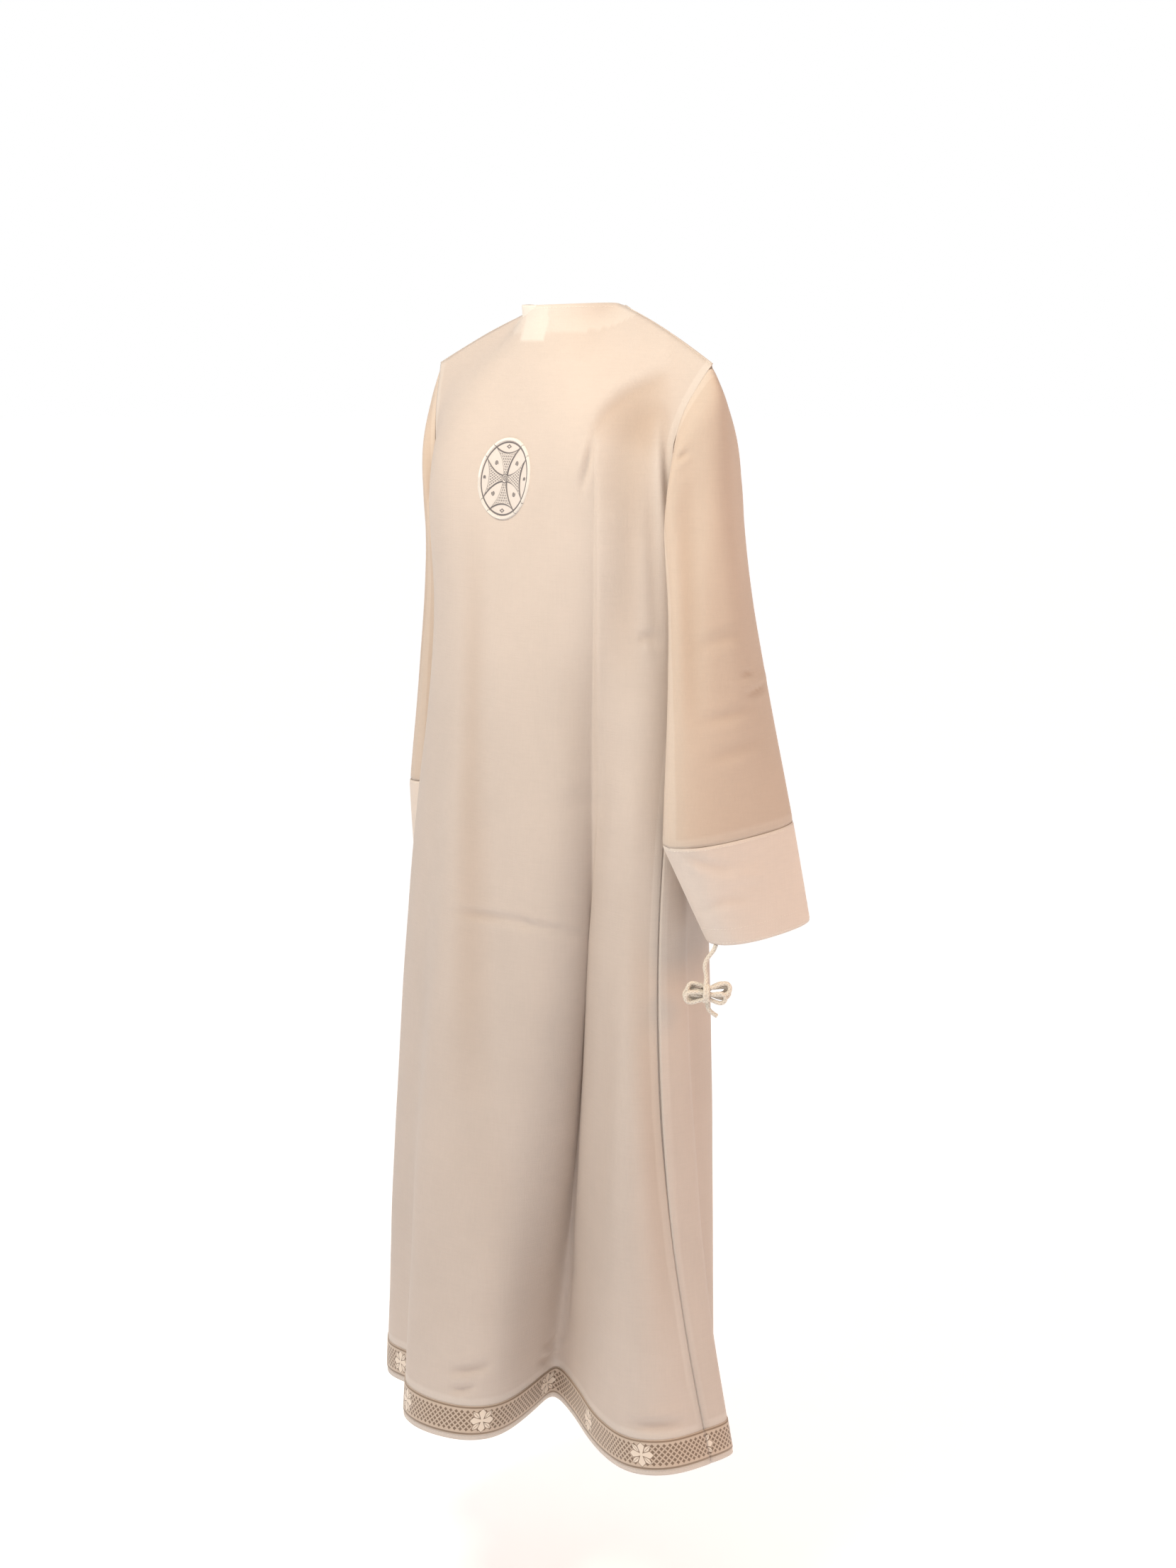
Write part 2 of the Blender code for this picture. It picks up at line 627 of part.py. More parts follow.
def make_cord(arm, count, material):
    exit_point = oval(arm.mouth, arm.side, np.array([count / 4]), count)[0]
    exit_point += np.array([0.0, -CORD_INSET, -CORD_CLEARANCE])
    yaw = HANK_YAW + math.pi if arm.side < 0 else -HANK_YAW
    turn = Matrix.Rotation(yaw, 3, "Z")

    def placed(route):
        return [exit_point + np.array(turn @ Vector(p)) for p in route]

    tube = curve_through(placed(CORD_ROUTE), np.linspace(0, len(CORD_ROUTE) - 1, CORD_SAMPLES))
    make_tube(f"{arm.name}_cord", tube, CORD_THICK, material)
    tail = curve_through(placed(TAIL_ROUTE), np.linspace(0, len(TAIL_ROUTE) - 1, TAIL_SAMPLES))
    make_tube(f"{arm.name}_cord_tail", tail, CORD_THICK, material)
    middle = placed([(HANK_SHIFT, 0.0, -HANK_DROP)])[0]
    make_hank(f"{arm.name}_cord_hank", middle, yaw, material)


def make_button(tree, materials):
    # A flat button beside the slit, and a thread loop that reaches it from across the slit.
    place, normal, _, _ = tree.ray_cast(Vector((BUTTON_X, -FAR_OFF, BUTTON_Z)), Vector((0, 1, 0)))
    normal = normal if normal.y < 0 else -normal
    turn = normal.to_track_quat("Z", "X").to_matrix().to_4x4()
    bm = bmesh.new()
    bmesh.ops.create_cone(
        bm,
        cap_ends=True,
        segments=BUTTON_SIDES,
        radius1=BUTTON_RADIUS,
        radius2=BUTTON_RADIUS * BUTTON_TAPER,
        depth=BUTTON_HEIGHT,
    )
    mesh = bpy.data.meshes.new("button")
    bm.to_mesh(mesh)
    bm.free()
    mesh.materials.append(materials["button"])
    button = bpy.data.objects.new("button", mesh)
    button.matrix_world = Matrix.Translation(place + normal * (BUTTON_HEIGHT / 2 + LAY_GAP)) @ turn
    collection.objects.link(button)
    points = []
    reach = BUTTON_RADIUS + LOOP_THICK
    for angle in np.linspace(-LOOP_REACH, LOOP_REACH, LOOP_POINTS):
        round_button = abs(angle) < math.pi / 2
        x = BUTTON_X - reach * math.cos(angle) if round_button else LOOP_FEET_X
        z = BUTTON_Z + reach * math.sin(angle) * (1 if round_button else LOOP_FEET)
        spot, away, _, _ = tree.ray_cast(Vector((x, -FAR_OFF, z)), Vector((0, 1, 0)))
        away = away if away.y < 0 else -away
        points.append(spot + away * (LOOP_THICK / 2 + LAY_GAP))
    make_tube("button_loop", points, LOOP_THICK, materials["cord"])


for leftover in list(bpy.data.objects):
    bpy.data.objects.remove(leftover)

collection = bpy.data.collections.new("alb")
bpy.context.scene.collection.children.link(collection)

materials = {
    "cloth": new_material("white_crepe", WHITE, 0.75),
    "cuff": new_material("cuff_cloth", (0.84, 0.76, 0.68), 0.75),
    "band": new_material("woven_band", (0.42, 0.36, 0.30), 0.60),
    "patch": new_material("patch", (0.80, 0.70, 0.66), 0.60),
    "cord": new_material("white_cord", (0.88, 0.85, 0.78), 0.70),
    "label": new_material("blank_label", (0.92, 0.90, 0.86), 0.60),
    "button": new_material("white_button", (0.90, 0.88, 0.84), 0.30),
}

panels, slit_column = body_surface()
surfaces = {}
for name, grid in panels.items():
    outward = (0, 1, 0) if name == "back" else (0, -1, 0)
    surfaces[name] = (grid, surface_normals(grid, False, outward))
ring_count = 2 * UPPER_ROWS
for arm in ARMS:
    grid = sleeve_surface(arm)
    surfaces[f"{arm.name}_sleeve"] = (grid, surface_normals(grid, True, (arm.side, 0, 0)))
    cuff = cuff_surface(arm, ring_count)
    surfaces[f"{arm.name}_cuff"] = (cuff, surface_normals(cuff, True, (arm.side, 0, 0)))
share_normals(surfaces)
set_ridge_normals(surfaces)

slit = {(row, slit_column) for row in range(SLIT_ROWS)}
for name, (grid, normals) in surfaces.items():
    closed = "sleeve" in name or "cuff" in name
    outer = trimmed(grid, closed, keep_bottom=name in ("back", "front") or "cuff" in name)
    missing = slit if name == "front" else ()
    wall(name, outer, outer - normals * WALL, materials["cuff" if "cuff" in name else "cloth"], closed, missing)

for name in ("back", "front"):
    grid, normals = surfaces[name]
    strip = trimmed(grid, False, keep_bottom=True, keep_top=True)[-3:-1]
    lift = normals[-3:-1]
    near, far = strip + lift * LAY_GAP, strip + lift * (LAY_GAP + BAND_WALL)
    wall(f"hem_band_{name}", far, near, materials["band"])

back_grid, back_normals = surfaces["back"]
front_grid = surfaces["front"][0]
facing_tree = make_facing(back_grid, back_normals, materials["cloth"])
make_label(facing_tree, materials["label"])
make_patch(tree_of(back_grid), materials["patch"])
make_button(tree_of(front_grid), materials)
for arm in ARMS:
    make_cord(arm, ring_count, materials["cord"])
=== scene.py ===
# The looks of a child's white alb: cloth shells, sewing, woven hem band, patch and cords.

import math

import bmesh
import bpy
import numpy as np
from mathutils import Matrix, Vector, noise
from mathutils.bvhtree import BVHTree


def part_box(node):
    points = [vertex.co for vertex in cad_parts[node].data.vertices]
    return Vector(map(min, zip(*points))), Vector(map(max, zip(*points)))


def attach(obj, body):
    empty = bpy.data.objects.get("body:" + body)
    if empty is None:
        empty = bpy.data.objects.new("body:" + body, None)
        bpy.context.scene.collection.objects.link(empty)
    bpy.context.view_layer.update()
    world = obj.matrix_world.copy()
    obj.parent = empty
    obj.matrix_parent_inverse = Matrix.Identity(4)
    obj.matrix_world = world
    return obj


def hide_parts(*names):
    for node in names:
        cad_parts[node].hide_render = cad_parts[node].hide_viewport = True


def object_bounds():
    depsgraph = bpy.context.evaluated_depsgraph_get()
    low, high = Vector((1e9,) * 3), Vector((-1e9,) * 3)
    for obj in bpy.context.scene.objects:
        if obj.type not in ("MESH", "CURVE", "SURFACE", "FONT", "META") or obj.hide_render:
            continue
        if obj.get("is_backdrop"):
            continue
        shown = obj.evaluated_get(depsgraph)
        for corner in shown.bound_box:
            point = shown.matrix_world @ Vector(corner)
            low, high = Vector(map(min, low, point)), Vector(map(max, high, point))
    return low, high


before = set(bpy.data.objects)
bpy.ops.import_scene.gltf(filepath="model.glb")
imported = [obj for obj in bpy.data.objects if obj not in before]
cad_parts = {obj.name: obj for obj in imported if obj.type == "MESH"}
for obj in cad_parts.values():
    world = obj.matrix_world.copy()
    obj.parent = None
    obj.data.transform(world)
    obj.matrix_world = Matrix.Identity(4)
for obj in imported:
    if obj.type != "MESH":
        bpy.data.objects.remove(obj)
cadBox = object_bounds()
print("frame loaded")

# Camera: behind the wearer, to the wearer's right
camera = {
    "place": Vector((-1.889, 1.560, -0.012)),
    "turn": math.radians(50.0),  # from straight behind
    "pitch": math.radians(9.14),  # downward
    "image": (1659, 2212),
    "focal": 3766.0,  # in the photograph's pixels
    "sensor": 36.0,
}
level = Vector((math.sin(camera["turn"]), -math.cos(camera["turn"]), 0.0))
forward = level * math.cos(camera["pitch"]) - Vector((0, 0, math.sin(camera["pitch"])))
rightward = forward.cross(Vector((0, 0, 1))).normalized()
upward = rightward.cross(forward)

lensData = bpy.data.cameras.new("camera")
lensData.sensor_width = camera["sensor"]
lensData.lens = camera["focal"] / camera["image"][1] * camera["sensor"]
lensData.clip_end = 50
cameraObject = bpy.data.objects.new("camera", lensData)
facing = forward.to_track_quat("-Z", "Y").to_matrix().to_4x4()
cameraObject.matrix_world = Matrix.Translation(camera["place"]) @ facing
bpy.context.scene.collection.objects.link(cameraObject)
bpy.context.scene.camera = cameraObject


def sight(view, across, down):
    # A line of sight: through a pixel of the photograph, or straight at the front, side or back in metres.
    if view == "camera":
        width, height = camera["image"]
        away = forward * camera["focal"] + rightward * (across - width / 2) - upward * (down - height / 2)
        return camera["place"], away.normalized()
    starts = {
        "back": (Vector((across, 1.0, down)), Vector((0, -1, 0))),
        "front": (Vector((across, -1.0, down)), Vector((0, 1, 0))),
        "left": (Vector((1.0, across, down)), Vector((-1, 0, 0))),
    }
    return starts[view]


# Cloth
cloth = {
    "wall": 0.0012,  # of the CAD solids of the body, sleeves and cuffs
    "fit": 0.000004,  # how near to it a rim's short edges are
    "thinWall": 0.0010,  # of the facing and the label
    "thinFit": 0.00001,
    "shell": 0.0006,
    "easing": 22,  # rounds of smoothing across the folds
    "smallCrease": 0.0065,  # a narrower crease is small
    "blur": 0.0008,  # softness of the edge of a doubled place
    "row": 0.0054,  # between the fine rows of the panels
    "closeRow": 0.0030,  # where there are small creases
    "close": ((-0.500, -0.420), (-1.050, -0.915)),
}


def mergedMesh(node):
    bm = bmesh.new()
    bm.from_mesh(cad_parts[node].data)
    bmesh.ops.remove_doubles(bm, verts=bm.verts, dist=0.00002)
    return bm


def islandsOf(bm):
    left, islands = set(bm.faces), []
    while left:
        island, edge = set(), [left.pop()]
        while edge:
            face = edge.pop()
            island.add(face)
            for beside in (f for e in face.edges for f in e.link_faces if f in left):
                left.discard(beside)
                edge.append(beside)
        islands.append(island)
    return islands


def outerSheet(node, wall, middle, tolerance):
    # The outer of the two sheets of a cloth wall; middle is a point of the hollow in plan.
    bm = mergedMesh(node)
    rim = [f for f in bm.faces if min(abs(e.calc_length() - wall) for e in f.edges) < tolerance]
    bmesh.ops.delete(bm, geom=rim, context="FACES")

    def facing(island):
        total = 0.0
        for face in island:
            spot = face.calc_center_median()
            total += face.calc_area() * face.normal.dot(Vector((spot.x - middle[0], spot.y - middle[1], 0)))
        return total

    islands = sorted(islandsOf(bm), key=facing)
    bmesh.ops.delete(bm, geom=[f for island in islands[:-1] for f in island], context="FACES")
    bmesh.ops.delete(bm, geom=[v for v in bm.verts if not v.link_faces], context="VERTS")
    return bm


def edgeOf(a, b):
    return next((e for e in a.link_edges if e.other_vert(a) == b), None)


def lowerEdge(bm, closed):
    # The vertices along the sheet's lower edge, from corner to corner, or all round.
    border = {}
    for e in bm.edges:
        if e.is_boundary:
            for v in e.verts:
                border.setdefault(v, []).append(e.other_vert(v))
    if closed:
        start = min(border, key=lambda v: v.co.z)
        ends = (start,)
    else:
        start, last = sorted((v for v in border if len(v.link_faces) < 3), key=lambda v: v.co.z)[:2]
        ends = (start, last)
    paths = []
    for turn in (0, 1):
        path = [start, border[start][turn]]
        while path[-1] not in ends:
            path.append(next(v for v in border[path[-1]] if v != path[-2]))
        paths.append(path[:-1] if closed else path)
    return min(paths, key=lambda p: sum(v.co.z for v in p) / len(p))


def gridOf(bm, closed):
    # The sheet's vertices as rows and columns, walked upward, and the cells that are missing.
    first = lowerEdge(bm, closed)
    count = len(first)
    cells = count if closed else count - 1

    def apex(edge, used):
        faces = [f for f in edge.link_faces if f not in used] if edge else []
        if not faces:
            return None, None
        return faces[0], next(v for v in faces[0].verts if v not in edge.verts)

    if closed:
        lean = 0.0
        for j in range(cells):
            a, b = first[j], first[(j + 1) % count]
            top = apex(edgeOf(a, b), ())[1]
            lean += (top.co - a.co).length - (top.co - b.co).length
        leaning = lean > 0
    else:
        leaning = len(first[0].link_faces) > 1
    rows, missing, used = [first], [], set()
    while True:
        row, above, gaps = rows[-1], [None] * count, []
        for j in range(cells):
            k = (j + 1) % count
            face, top = apex(edgeOf(row[j], row[k]), used)
            if face is None:
                gaps.append(j)
                continue
            used.add(face)
            other, beside = apex(edgeOf(row[j] if leaning else row[k], top), used)
            used.add(other)
            above[j], above[k] = (beside, top) if leaning else (top, beside)
        if len(gaps) == cells:
            break
        missing += [(len(rows) - 1, j) for j in gaps]
        rows.append(above)
    grid = np.array([[v.co for v in row] for row in rows[::-1]])
    missing = [(len(rows) - 2 - i, j) for i, j in missing]
    corner = first[0]
    outward = Vector(np.cross(grid[-1, 1] - grid[-1, 0], grid[-1, 0] - grid[-2, 0]))
    if outward.dot(corner.link_faces[0].normal) < 0:
        grid = grid[:, ::-1]
        missing = [(i, cells - 1 - j) for i, j in missing]
    return grid, missing


def splined(grid, steps):
    # Smooth rows between the grid's rows: steps tells how many for each.
    gaps = np.maximum(np.linalg.norm(np.diff(grid, axis=0), axis=-1).mean(axis=1), 1e-6)
    slope = np.diff(grid, axis=0) / gaps[:, None, None]
    tangent = np.empty_like(grid)
    tangent[0], tangent[-1] = slope[0], slope[-1]
    before, after = gaps[:-1, None, None], gaps[1:, None, None]
    tangent[1:-1] = (slope[:-1] * after + slope[1:] * before) / (before + after)
    rows = []
    for k, count in enumerate(steps):
        for t in np.arange(count) / count:
            a, b = 2 * t**3 - 3 * t**2 + 1, t**3 - 2 * t**2 + t
            c, d = 3 * t**2 - 2 * t**3, t**3 - t**2
            rows.append(a * grid[k] + b * gaps[k] * tangent[k] + c * grid[k + 1] + d * gaps[k] * tangent[k + 1])
    rows.append(grid[-1])
    return np.array(rows)


def eased(grid, cut):
    # Rounds the folds across the columns; the edges, and those of a slit at column cut, stay.
    for first, last in ((0, cut), (cut, grid.shape[1])) if cut else ((0, grid.shape[1]),):
        part = grid[:, first:last]
        for again in range(cloth["easing"]):
            part[:, 1:-1] = part[:, 1:-1] * 0.5 + (part[:, :-2] + part[:, 2:]) * 0.25
    return grid


def wrapped(grid, more):
    return np.concatenate([grid[:, -more:], grid, grid[:, : more + 1]], axis=1)


def fineGrid(grid, rowSteps, columnSteps, closed):
    # The sheet at fine spacing. A closed one ends with its first column again.
    tall = splined(grid, rowSteps)
    if closed:
        tall = wrapped(tall, 2)
    wide = splined(tall.transpose(1, 0, 2), columnSteps).transpose(1, 0, 2)
    if closed:
        wide = wide[:, 2 * columnSteps[0] : -2 * columnSteps[0]]
    return wide


def normalsOf(grid, closed):
    if closed:
        padded = np.concatenate([grid[:, -2:-1], grid, grid[:, 1:2]], axis=1)
        across = padded[:, 2:] - padded[:, :-2]
    else:
        across = np.gradient(grid, axis=1)
    normal = np.cross(across, np.gradient(grid, axis=0))
    return normal / np.maximum(np.linalg.norm(normal, axis=-1, keepdims=True), 1e-12)


def arcs(grid, axis):
    # Distance along the cloth, from the first row or column.
    run = np.linalg.norm(np.diff(grid, axis=axis), axis=-1)
    start = np.zeros_like(run[:1] if axis == 0 else run[:, :1])
    return np.concatenate([start, np.cumsum(run, axis=axis)], axis=axis)


def treeOf(grid):
    rows, columns = grid.shape[:2]
    index = np.arange(rows * columns).reshape(rows, columns)
    quads = np.stack([index[:-1, :-1], index[:-1, 1:], index[1:, 1:], index[1:, :-1]], axis=-1).reshape(-1, 4)
    return BVHTree.FromPolygons([Vector(p) for p in grid.reshape(-1, 3)], quads.tolist())


def newObject(name, data):
    made = bpy.data.objects.new(name, data)
    bpy.context.scene.collection.objects.link(made)
    return made


def gridPiece(name, points, masks, closed=False, holes=(), flat=None):
    # A sheet through a grid of points; masks are numbers painted on it for its material.
    rows, columns = points.shape[:2]
    bm = bmesh.new()
    uvs = bm.loops.layers.uv.new("UVMap")
    bmesh.ops.create_grid(bm, x_segments=columns - 1, y_segments=rows - 1, size=1.0)
    layers = {key: bm.verts.layers.float.new(key) for key in masks}
    along, down = arcs(points, 1), arcs(points, 0)
    places = {}
    for v in bm.verts:
        i, j = round((1 - v.co.y) / 2 * (rows - 1)), round((v.co.x + 1) / 2 * (columns - 1))
        places[v] = (i, j)
        for key, layer in layers.items():
            v[layer] = float(masks[key][i, j])
    for face in bm.faces:
        for loop in face.loops:
            i, j = places[loop.vert]
            loop[uvs].uv = (along[i, j], -down[i, j]) if flat is None else flat[i, j]
    for v, (i, j) in places.items():
        v.co = points[i, j]
    cells = {f: tuple(min(places[v][axis] for v in f.verts) for axis in (0, 1)) for f in bm.faces}
    gone = [face for face, cell in cells.items() if cell in holes]
    bmesh.ops.delete(bm, geom=gone, context="FACES")
    if closed:
        bmesh.ops.remove_doubles(bm, verts=bm.verts, dist=0.000005)
    bmesh.ops.reverse_faces(bm, faces=bm.faces)
    mesh = bpy.data.meshes.new(name)
    bm.to_mesh(mesh)
    bm.free()
    mesh.shade_smooth()
    return newObject(name, mesh)


def thicken(piece, thickness):
    modifier = piece.modifiers.new("thickness", "SOLIDIFY")
    modifier.thickness = thickness
    modifier.offset = -1


def finishPiece(piece, material, slotName, *nodes):
    piece.data.materials.clear()
    piece.data.materials.append(material)
    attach(piece, "root")
    if nodes:
        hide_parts(*nodes)
    return piece


# Creases: kind, where each is seen, how wide and how deep. A step is crisp on one side and soft on the other.
creases = {
    "back": (
        ("step", "camera", ((838, 628), (835, 720), (834, 850), (834, 950), (835, 1150), (834, 1300), (833, 1420)),
         0.0042, 0.0060),
        ("step", "camera", ((834, 1330), (833, 1457), (824, 1598), (811, 1758), (798, 1886)), 0.0036, 0.0036),
        ("backstep", "camera", ((836, 624), (852, 590), (880, 560), (915, 540), (946, 526)), 0.0085, 0.0050),
        ("trough", "camera", ((866, 740), (874, 650), (900, 592), (938, 566)), 0.020, 0.0060),
        ("trough", "camera", ((836, 622), (829, 655), (819, 691)), 0.0032, 0.0026),
        ("ridge", "camera", ((830, 618), (822, 650), (811, 684)), 0.0040, 0.0010),
        ("trough", "camera", ((928, 552), (908, 640), (892, 740), (880, 860), (876, 960)), 0.020, 0.0056),
        ("trough", "camera", ((934, 575), (941, 650), (945, 735)), 0.0040, 0.0026),
        ("ridge", "camera", ((922, 590), (930, 680), (936, 790)), 0.0050, 0.0014),
        ("trough", "camera", ((918, 700), (922, 800), (928, 930)), 0.0060, 0.0016),
        ("trough", "camera", ((899, 905), (913, 901), (927, 905)), 0.0045, 0.0020),
        ("trough", "camera", ((610, 1283), (680, 1293), (760, 1305), (835, 1322)), 0.0040, 0.0021),
        ("trough", "camera", ((735, 1296), (748, 1309), (757, 1316)), 0.0036, 0.0008),
        ("ridge", "camera", ((742, 1290), (756, 1300), (764, 1311)), 0.0036, 0.0007),
        ("trough", "camera", ((632, 1936), (662, 1934), (693, 1925)), 0.0048, 0.0040),
        ("trough", "camera", ((632, 1961), (652, 1960), (671, 1953)), 0.0042, 0.0034),
        ("trough", "camera", ((760, 1921), (778, 1914), (790, 1902)), 0.0042, 0.0034),
        ("trough", "camera", ((766, 1900), (782, 1892), (793, 1882)), 0.0044, 0.0024),
        ("trough", "camera", ((880, 2008), (925, 2012), (965, 2005), (996, 1990)), 0.0050, 0.0040),
        ("trough", "camera", ((668, 760), (664, 980), (658, 1240), (652, 1520)), 0.018, 0.0016),
        ("ridge", "camera", ((745, 820), (742, 1050), (735, 1350), (728, 1600)), 0.024, 0.0018),
        ("ridge", "camera", ((816, 1120), (806, 1350), (790, 1560), (776, 1800)), 0.034, 0.0150),
        ("trough", "camera", ((905, 1280), (915, 1480), (932, 1700), (945, 1860)), 0.014, 0.0020),
        ("trough", "back", ((0.150, -0.170), (0.143, -0.230), (0.146, -0.300)), 0.0050, 0.0020),
        ("trough", "back", ((0.165, -0.350), (0.170, -0.520), (0.172, -0.720), (0.176, -0.880)), 0.012, 0.0026),
    ),
    "front": (
        ("trough", "front", ((-0.068, -0.110), (-0.074, -0.250), (-0.081, -0.440), (-0.084, -0.600)), 0.014, 0.0030),
        ("ridge", "front", ((-0.040, -0.160), (-0.044, -0.330), (-0.050, -0.560)), 0.016, 0.0024),
        ("trough", "front", ((0.052, -0.120), (0.062, -0.300), (0.070, -0.550), (0.074, -0.800)), 0.013, 0.0034),
        ("step", "front", ((0.006, -0.380), (0.002, -0.560), (-0.004, -0.760), (-0.006, -0.930)), 0.0040, 0.0032),
        ("trough", "front", ((-0.138, -0.215), (-0.122, -0.170), (-0.098, -0.128)), 0.0060, 0.0022),
        ("trough", "front", ((-0.146, -0.240), (-0.134, -0.196), (-0.118, -0.158)), 0.0048, 0.0015),
        ("trough", "front", ((0.142, -0.212), (0.125, -0.166), (0.101, -0.131)), 0.0060, 0.0022),
        ("trough", "front", ((-0.125, -0.455), (-0.030, -0.461), (0.060, -0.452), (0.132, -0.458)), 0.0042, 0.0012),
        ("trough", "front", ((-0.106, -0.942), (-0.084, -0.938), (-0.060, -0.944)), 0.0048, 0.0018),
        ("trough", "front", ((0.058, -0.934), (0.078, -0.939), (0.098, -0.936)), 0.0048, 0.0018),
        ("trough", "front", ((-0.160, -0.420), (-0.166, -0.600), (-0.170, -0.800)), 0.012, 0.0024),
    ),
    "right_sleeve": (
        ("trough", "camera", ((953, 648), (962, 643), (972, 637)), 0.0030, 0.0020),
        ("trough", "camera", ((1046, 953), (1062, 948), (1078, 938)), 0.0026, 0.0020),
        ("trough", "camera", ((1054, 982), (1067, 976), (1080, 965)), 0.0026, 0.0019),
        ("ridge", "camera", ((1040, 970), (1060, 963), (1080, 953)), 0.0040, 0.0014),
        ("trough", "camera", ((990, 1020), (1030, 1010), (1066, 996)), 0.0050, 0.0013),
        ("trough", "camera", ((985, 915), (1018, 902), (1046, 897)), 0.0060, 0.0012),
        ("trough", "camera", ((1000, 1075), (1040, 1060), (1080, 1044)), 0.0060, 0.0011),
        ("ridge", "camera", ((992, 560), (1002, 680), (1008, 820)), 0.010, 0.0016),
        ("trough", "camera", ((968, 560), (966, 700), (972, 860), (978, 1040)), 0.0090, 0.0022),
    ),
    "left_sleeve": (
        ("trough", "left", ((-0.032, -0.296), (-0.014, -0.302), (0.008, -0.296)), 0.0038, 0.0024),
        ("trough", "left", ((-0.034, -0.318), (-0.016, -0.324), (0.006, -0.321)), 0.0036, 0.0020),
        ("trough", "left", ((-0.040, -0.352), (-0.024, -0.349), (-0.004, -0.355)), 0.0050, 0.0014),
        ("trough", "left", ((-0.012, -0.110), (-0.018, -0.190), (-0.012, -0.272)), 0.0080, 0.0022),
        ("ridge", "left", ((0.008, -0.120), (0.006, -0.200), (0.004, -0.280)), 0.0090, 0.0014),
    ),
    "right_cuff": (
        ("trough", "camera", ((962, 1206), (996, 1220), (1030, 1226)), 0.0045, 0.0012),
        ("ridge", "camera", ((1006, 1246), (1046, 1238), (1084, 1236)), 0.0055, 0.0012),
        ("trough", "camera", ((986, 1286), (1022, 1272), (1060, 1270)), 0.0045, 0.0011),
    ),
    "left_cuff": (
        ("trough", "left", ((-0.066, -0.446), (-0.046, -0.452), (-0.024, -0.446)), 0.0045, 0.0012),
        ("trough", "left", ((-0.062, -0.490), (-0.042, -0.484), (-0.022, -0.492)), 0.0045, 0.0012),
    ),
}
viewRight = {
    "camera": rightward,
    "front": Vector((1, 0, 0)),
    "back": Vector((-1, 0, 0)),
    "left": Vector((0, 1, 0)),
}


def footOn(points, line):
    # The nearest place on a line, and how far along the line it is, from 0 to 1.
    nearest = np.linalg.norm(points[:, None] - line[None], axis=-1).argmin(1)
    foot, place, best = line[nearest], nearest * 1.0, np.full(len(points), np.inf)
    for shift in (-1, 0):
        index = np.clip(nearest + shift, 0, len(line) - 2)
        start, run = line[index], line[index + 1] - line[index]
        share = np.clip(((points - start) * run).sum(-1) / (run * run).sum(-1), 0, 1)
        spot = start + run * share[:, None]
        gap = np.linalg.norm(points - spot, axis=-1)
        better = gap < best
        foot, place = np.where(better[:, None], spot, foot), np.where(better, index + share, place)
        best = np.minimum(gap, best)
    return foot, place / (len(line) - 1)


def creased(grid, closed, rows, tree):
    # Pushes each crease into the sheet, fading at its ends, and returns a mask of painted shade along its trough; a
    # step gets none.
    normals = normalsOf(grid, closed)
    depth, paintedShade = np.zeros(grid.shape[:2]), np.zeros(grid.shape[:2])
    for kind, view, route, width, deep in rows:
        spots = []
        for across, down in route:
            start, away = sight(view, across, down)
            spot = tree.ray_cast(start, away)[0]
            if spot is not None:
                spots.append(np.array(spot))
        if len(spots) < 2:
            print("crease misses its cloth", view, route[0])
            continue
        spots = np.array(spots)
        line = splined(spots[:, None], [10] * (len(spots) - 1))[:, 0]
        stepped = kind in ("step", "backstep")
        reach = width * (16 if stepped else 4)
        close = ((grid > line.min(0) - reach) & (grid < line.max(0) + reach)).all(-1)
        points = grid[close]
        foot, place = footOn(points, line)
        fade = np.clip(np.sin(math.pi * np.clip(place, 0.02, 0.98)), 0, 1) ** 0.6
        gap = np.linalg.norm(points - foot, axis=-1)
        if stepped:
            side = ((points - foot) * np.array(viewRight[view])).sum(-1) * (1 if kind == "step" else -1)
            shape = np.where(side < 0, np.exp(-gap / (width * 5)), np.exp(-((gap / width) ** 2)))
            fade = fade * np.clip(1.5 - gap / (width * 12), 0, 1)
        else:
            shape = np.exp(-((gap / width) ** 2)) - 0.3 * np.exp(-(((gap - 2 * width) / width) ** 2))
            shape = shape * (-1 if kind == "ridge" else 1)
        depth[close] += deep * fade * shape
        # Painted shade: how much each crease darkens the cloth's colour, most along a backstep.
        share = 0.9 if kind == "backstep" else 0.18 if width < cloth["smallCrease"] else 0.4
        paintedShade[close] += fade * shape * (0 if kind == "step" else share)
    return grid - normals * depth[..., None], np.clip(paintedShade, 0, 1)


def wavy(grid, closed, seed, sizes):
    # Slow, uneven swells: the cloth is never quite even.
    normals = normalsOf(grid, closed)
    swell = np.zeros(grid.shape[:2])
    shift = Vector((seed * 7.3, seed * 3.1, seed * 5.7))
    for length, height in sizes:
        for i, row in enumerate(grid):
            swell[i] += [height * noise.noise(Vector((p[0], p[1], p[2] * 0.6)) / length + shift) for p in row]
    return grid + normals * swell[..., None]


def near(distance, width):
    # 1 within width of an edge, falling to 0 just past it.
    return np.clip((width - distance) / cloth["blur"] + 0.5, 0, 1)


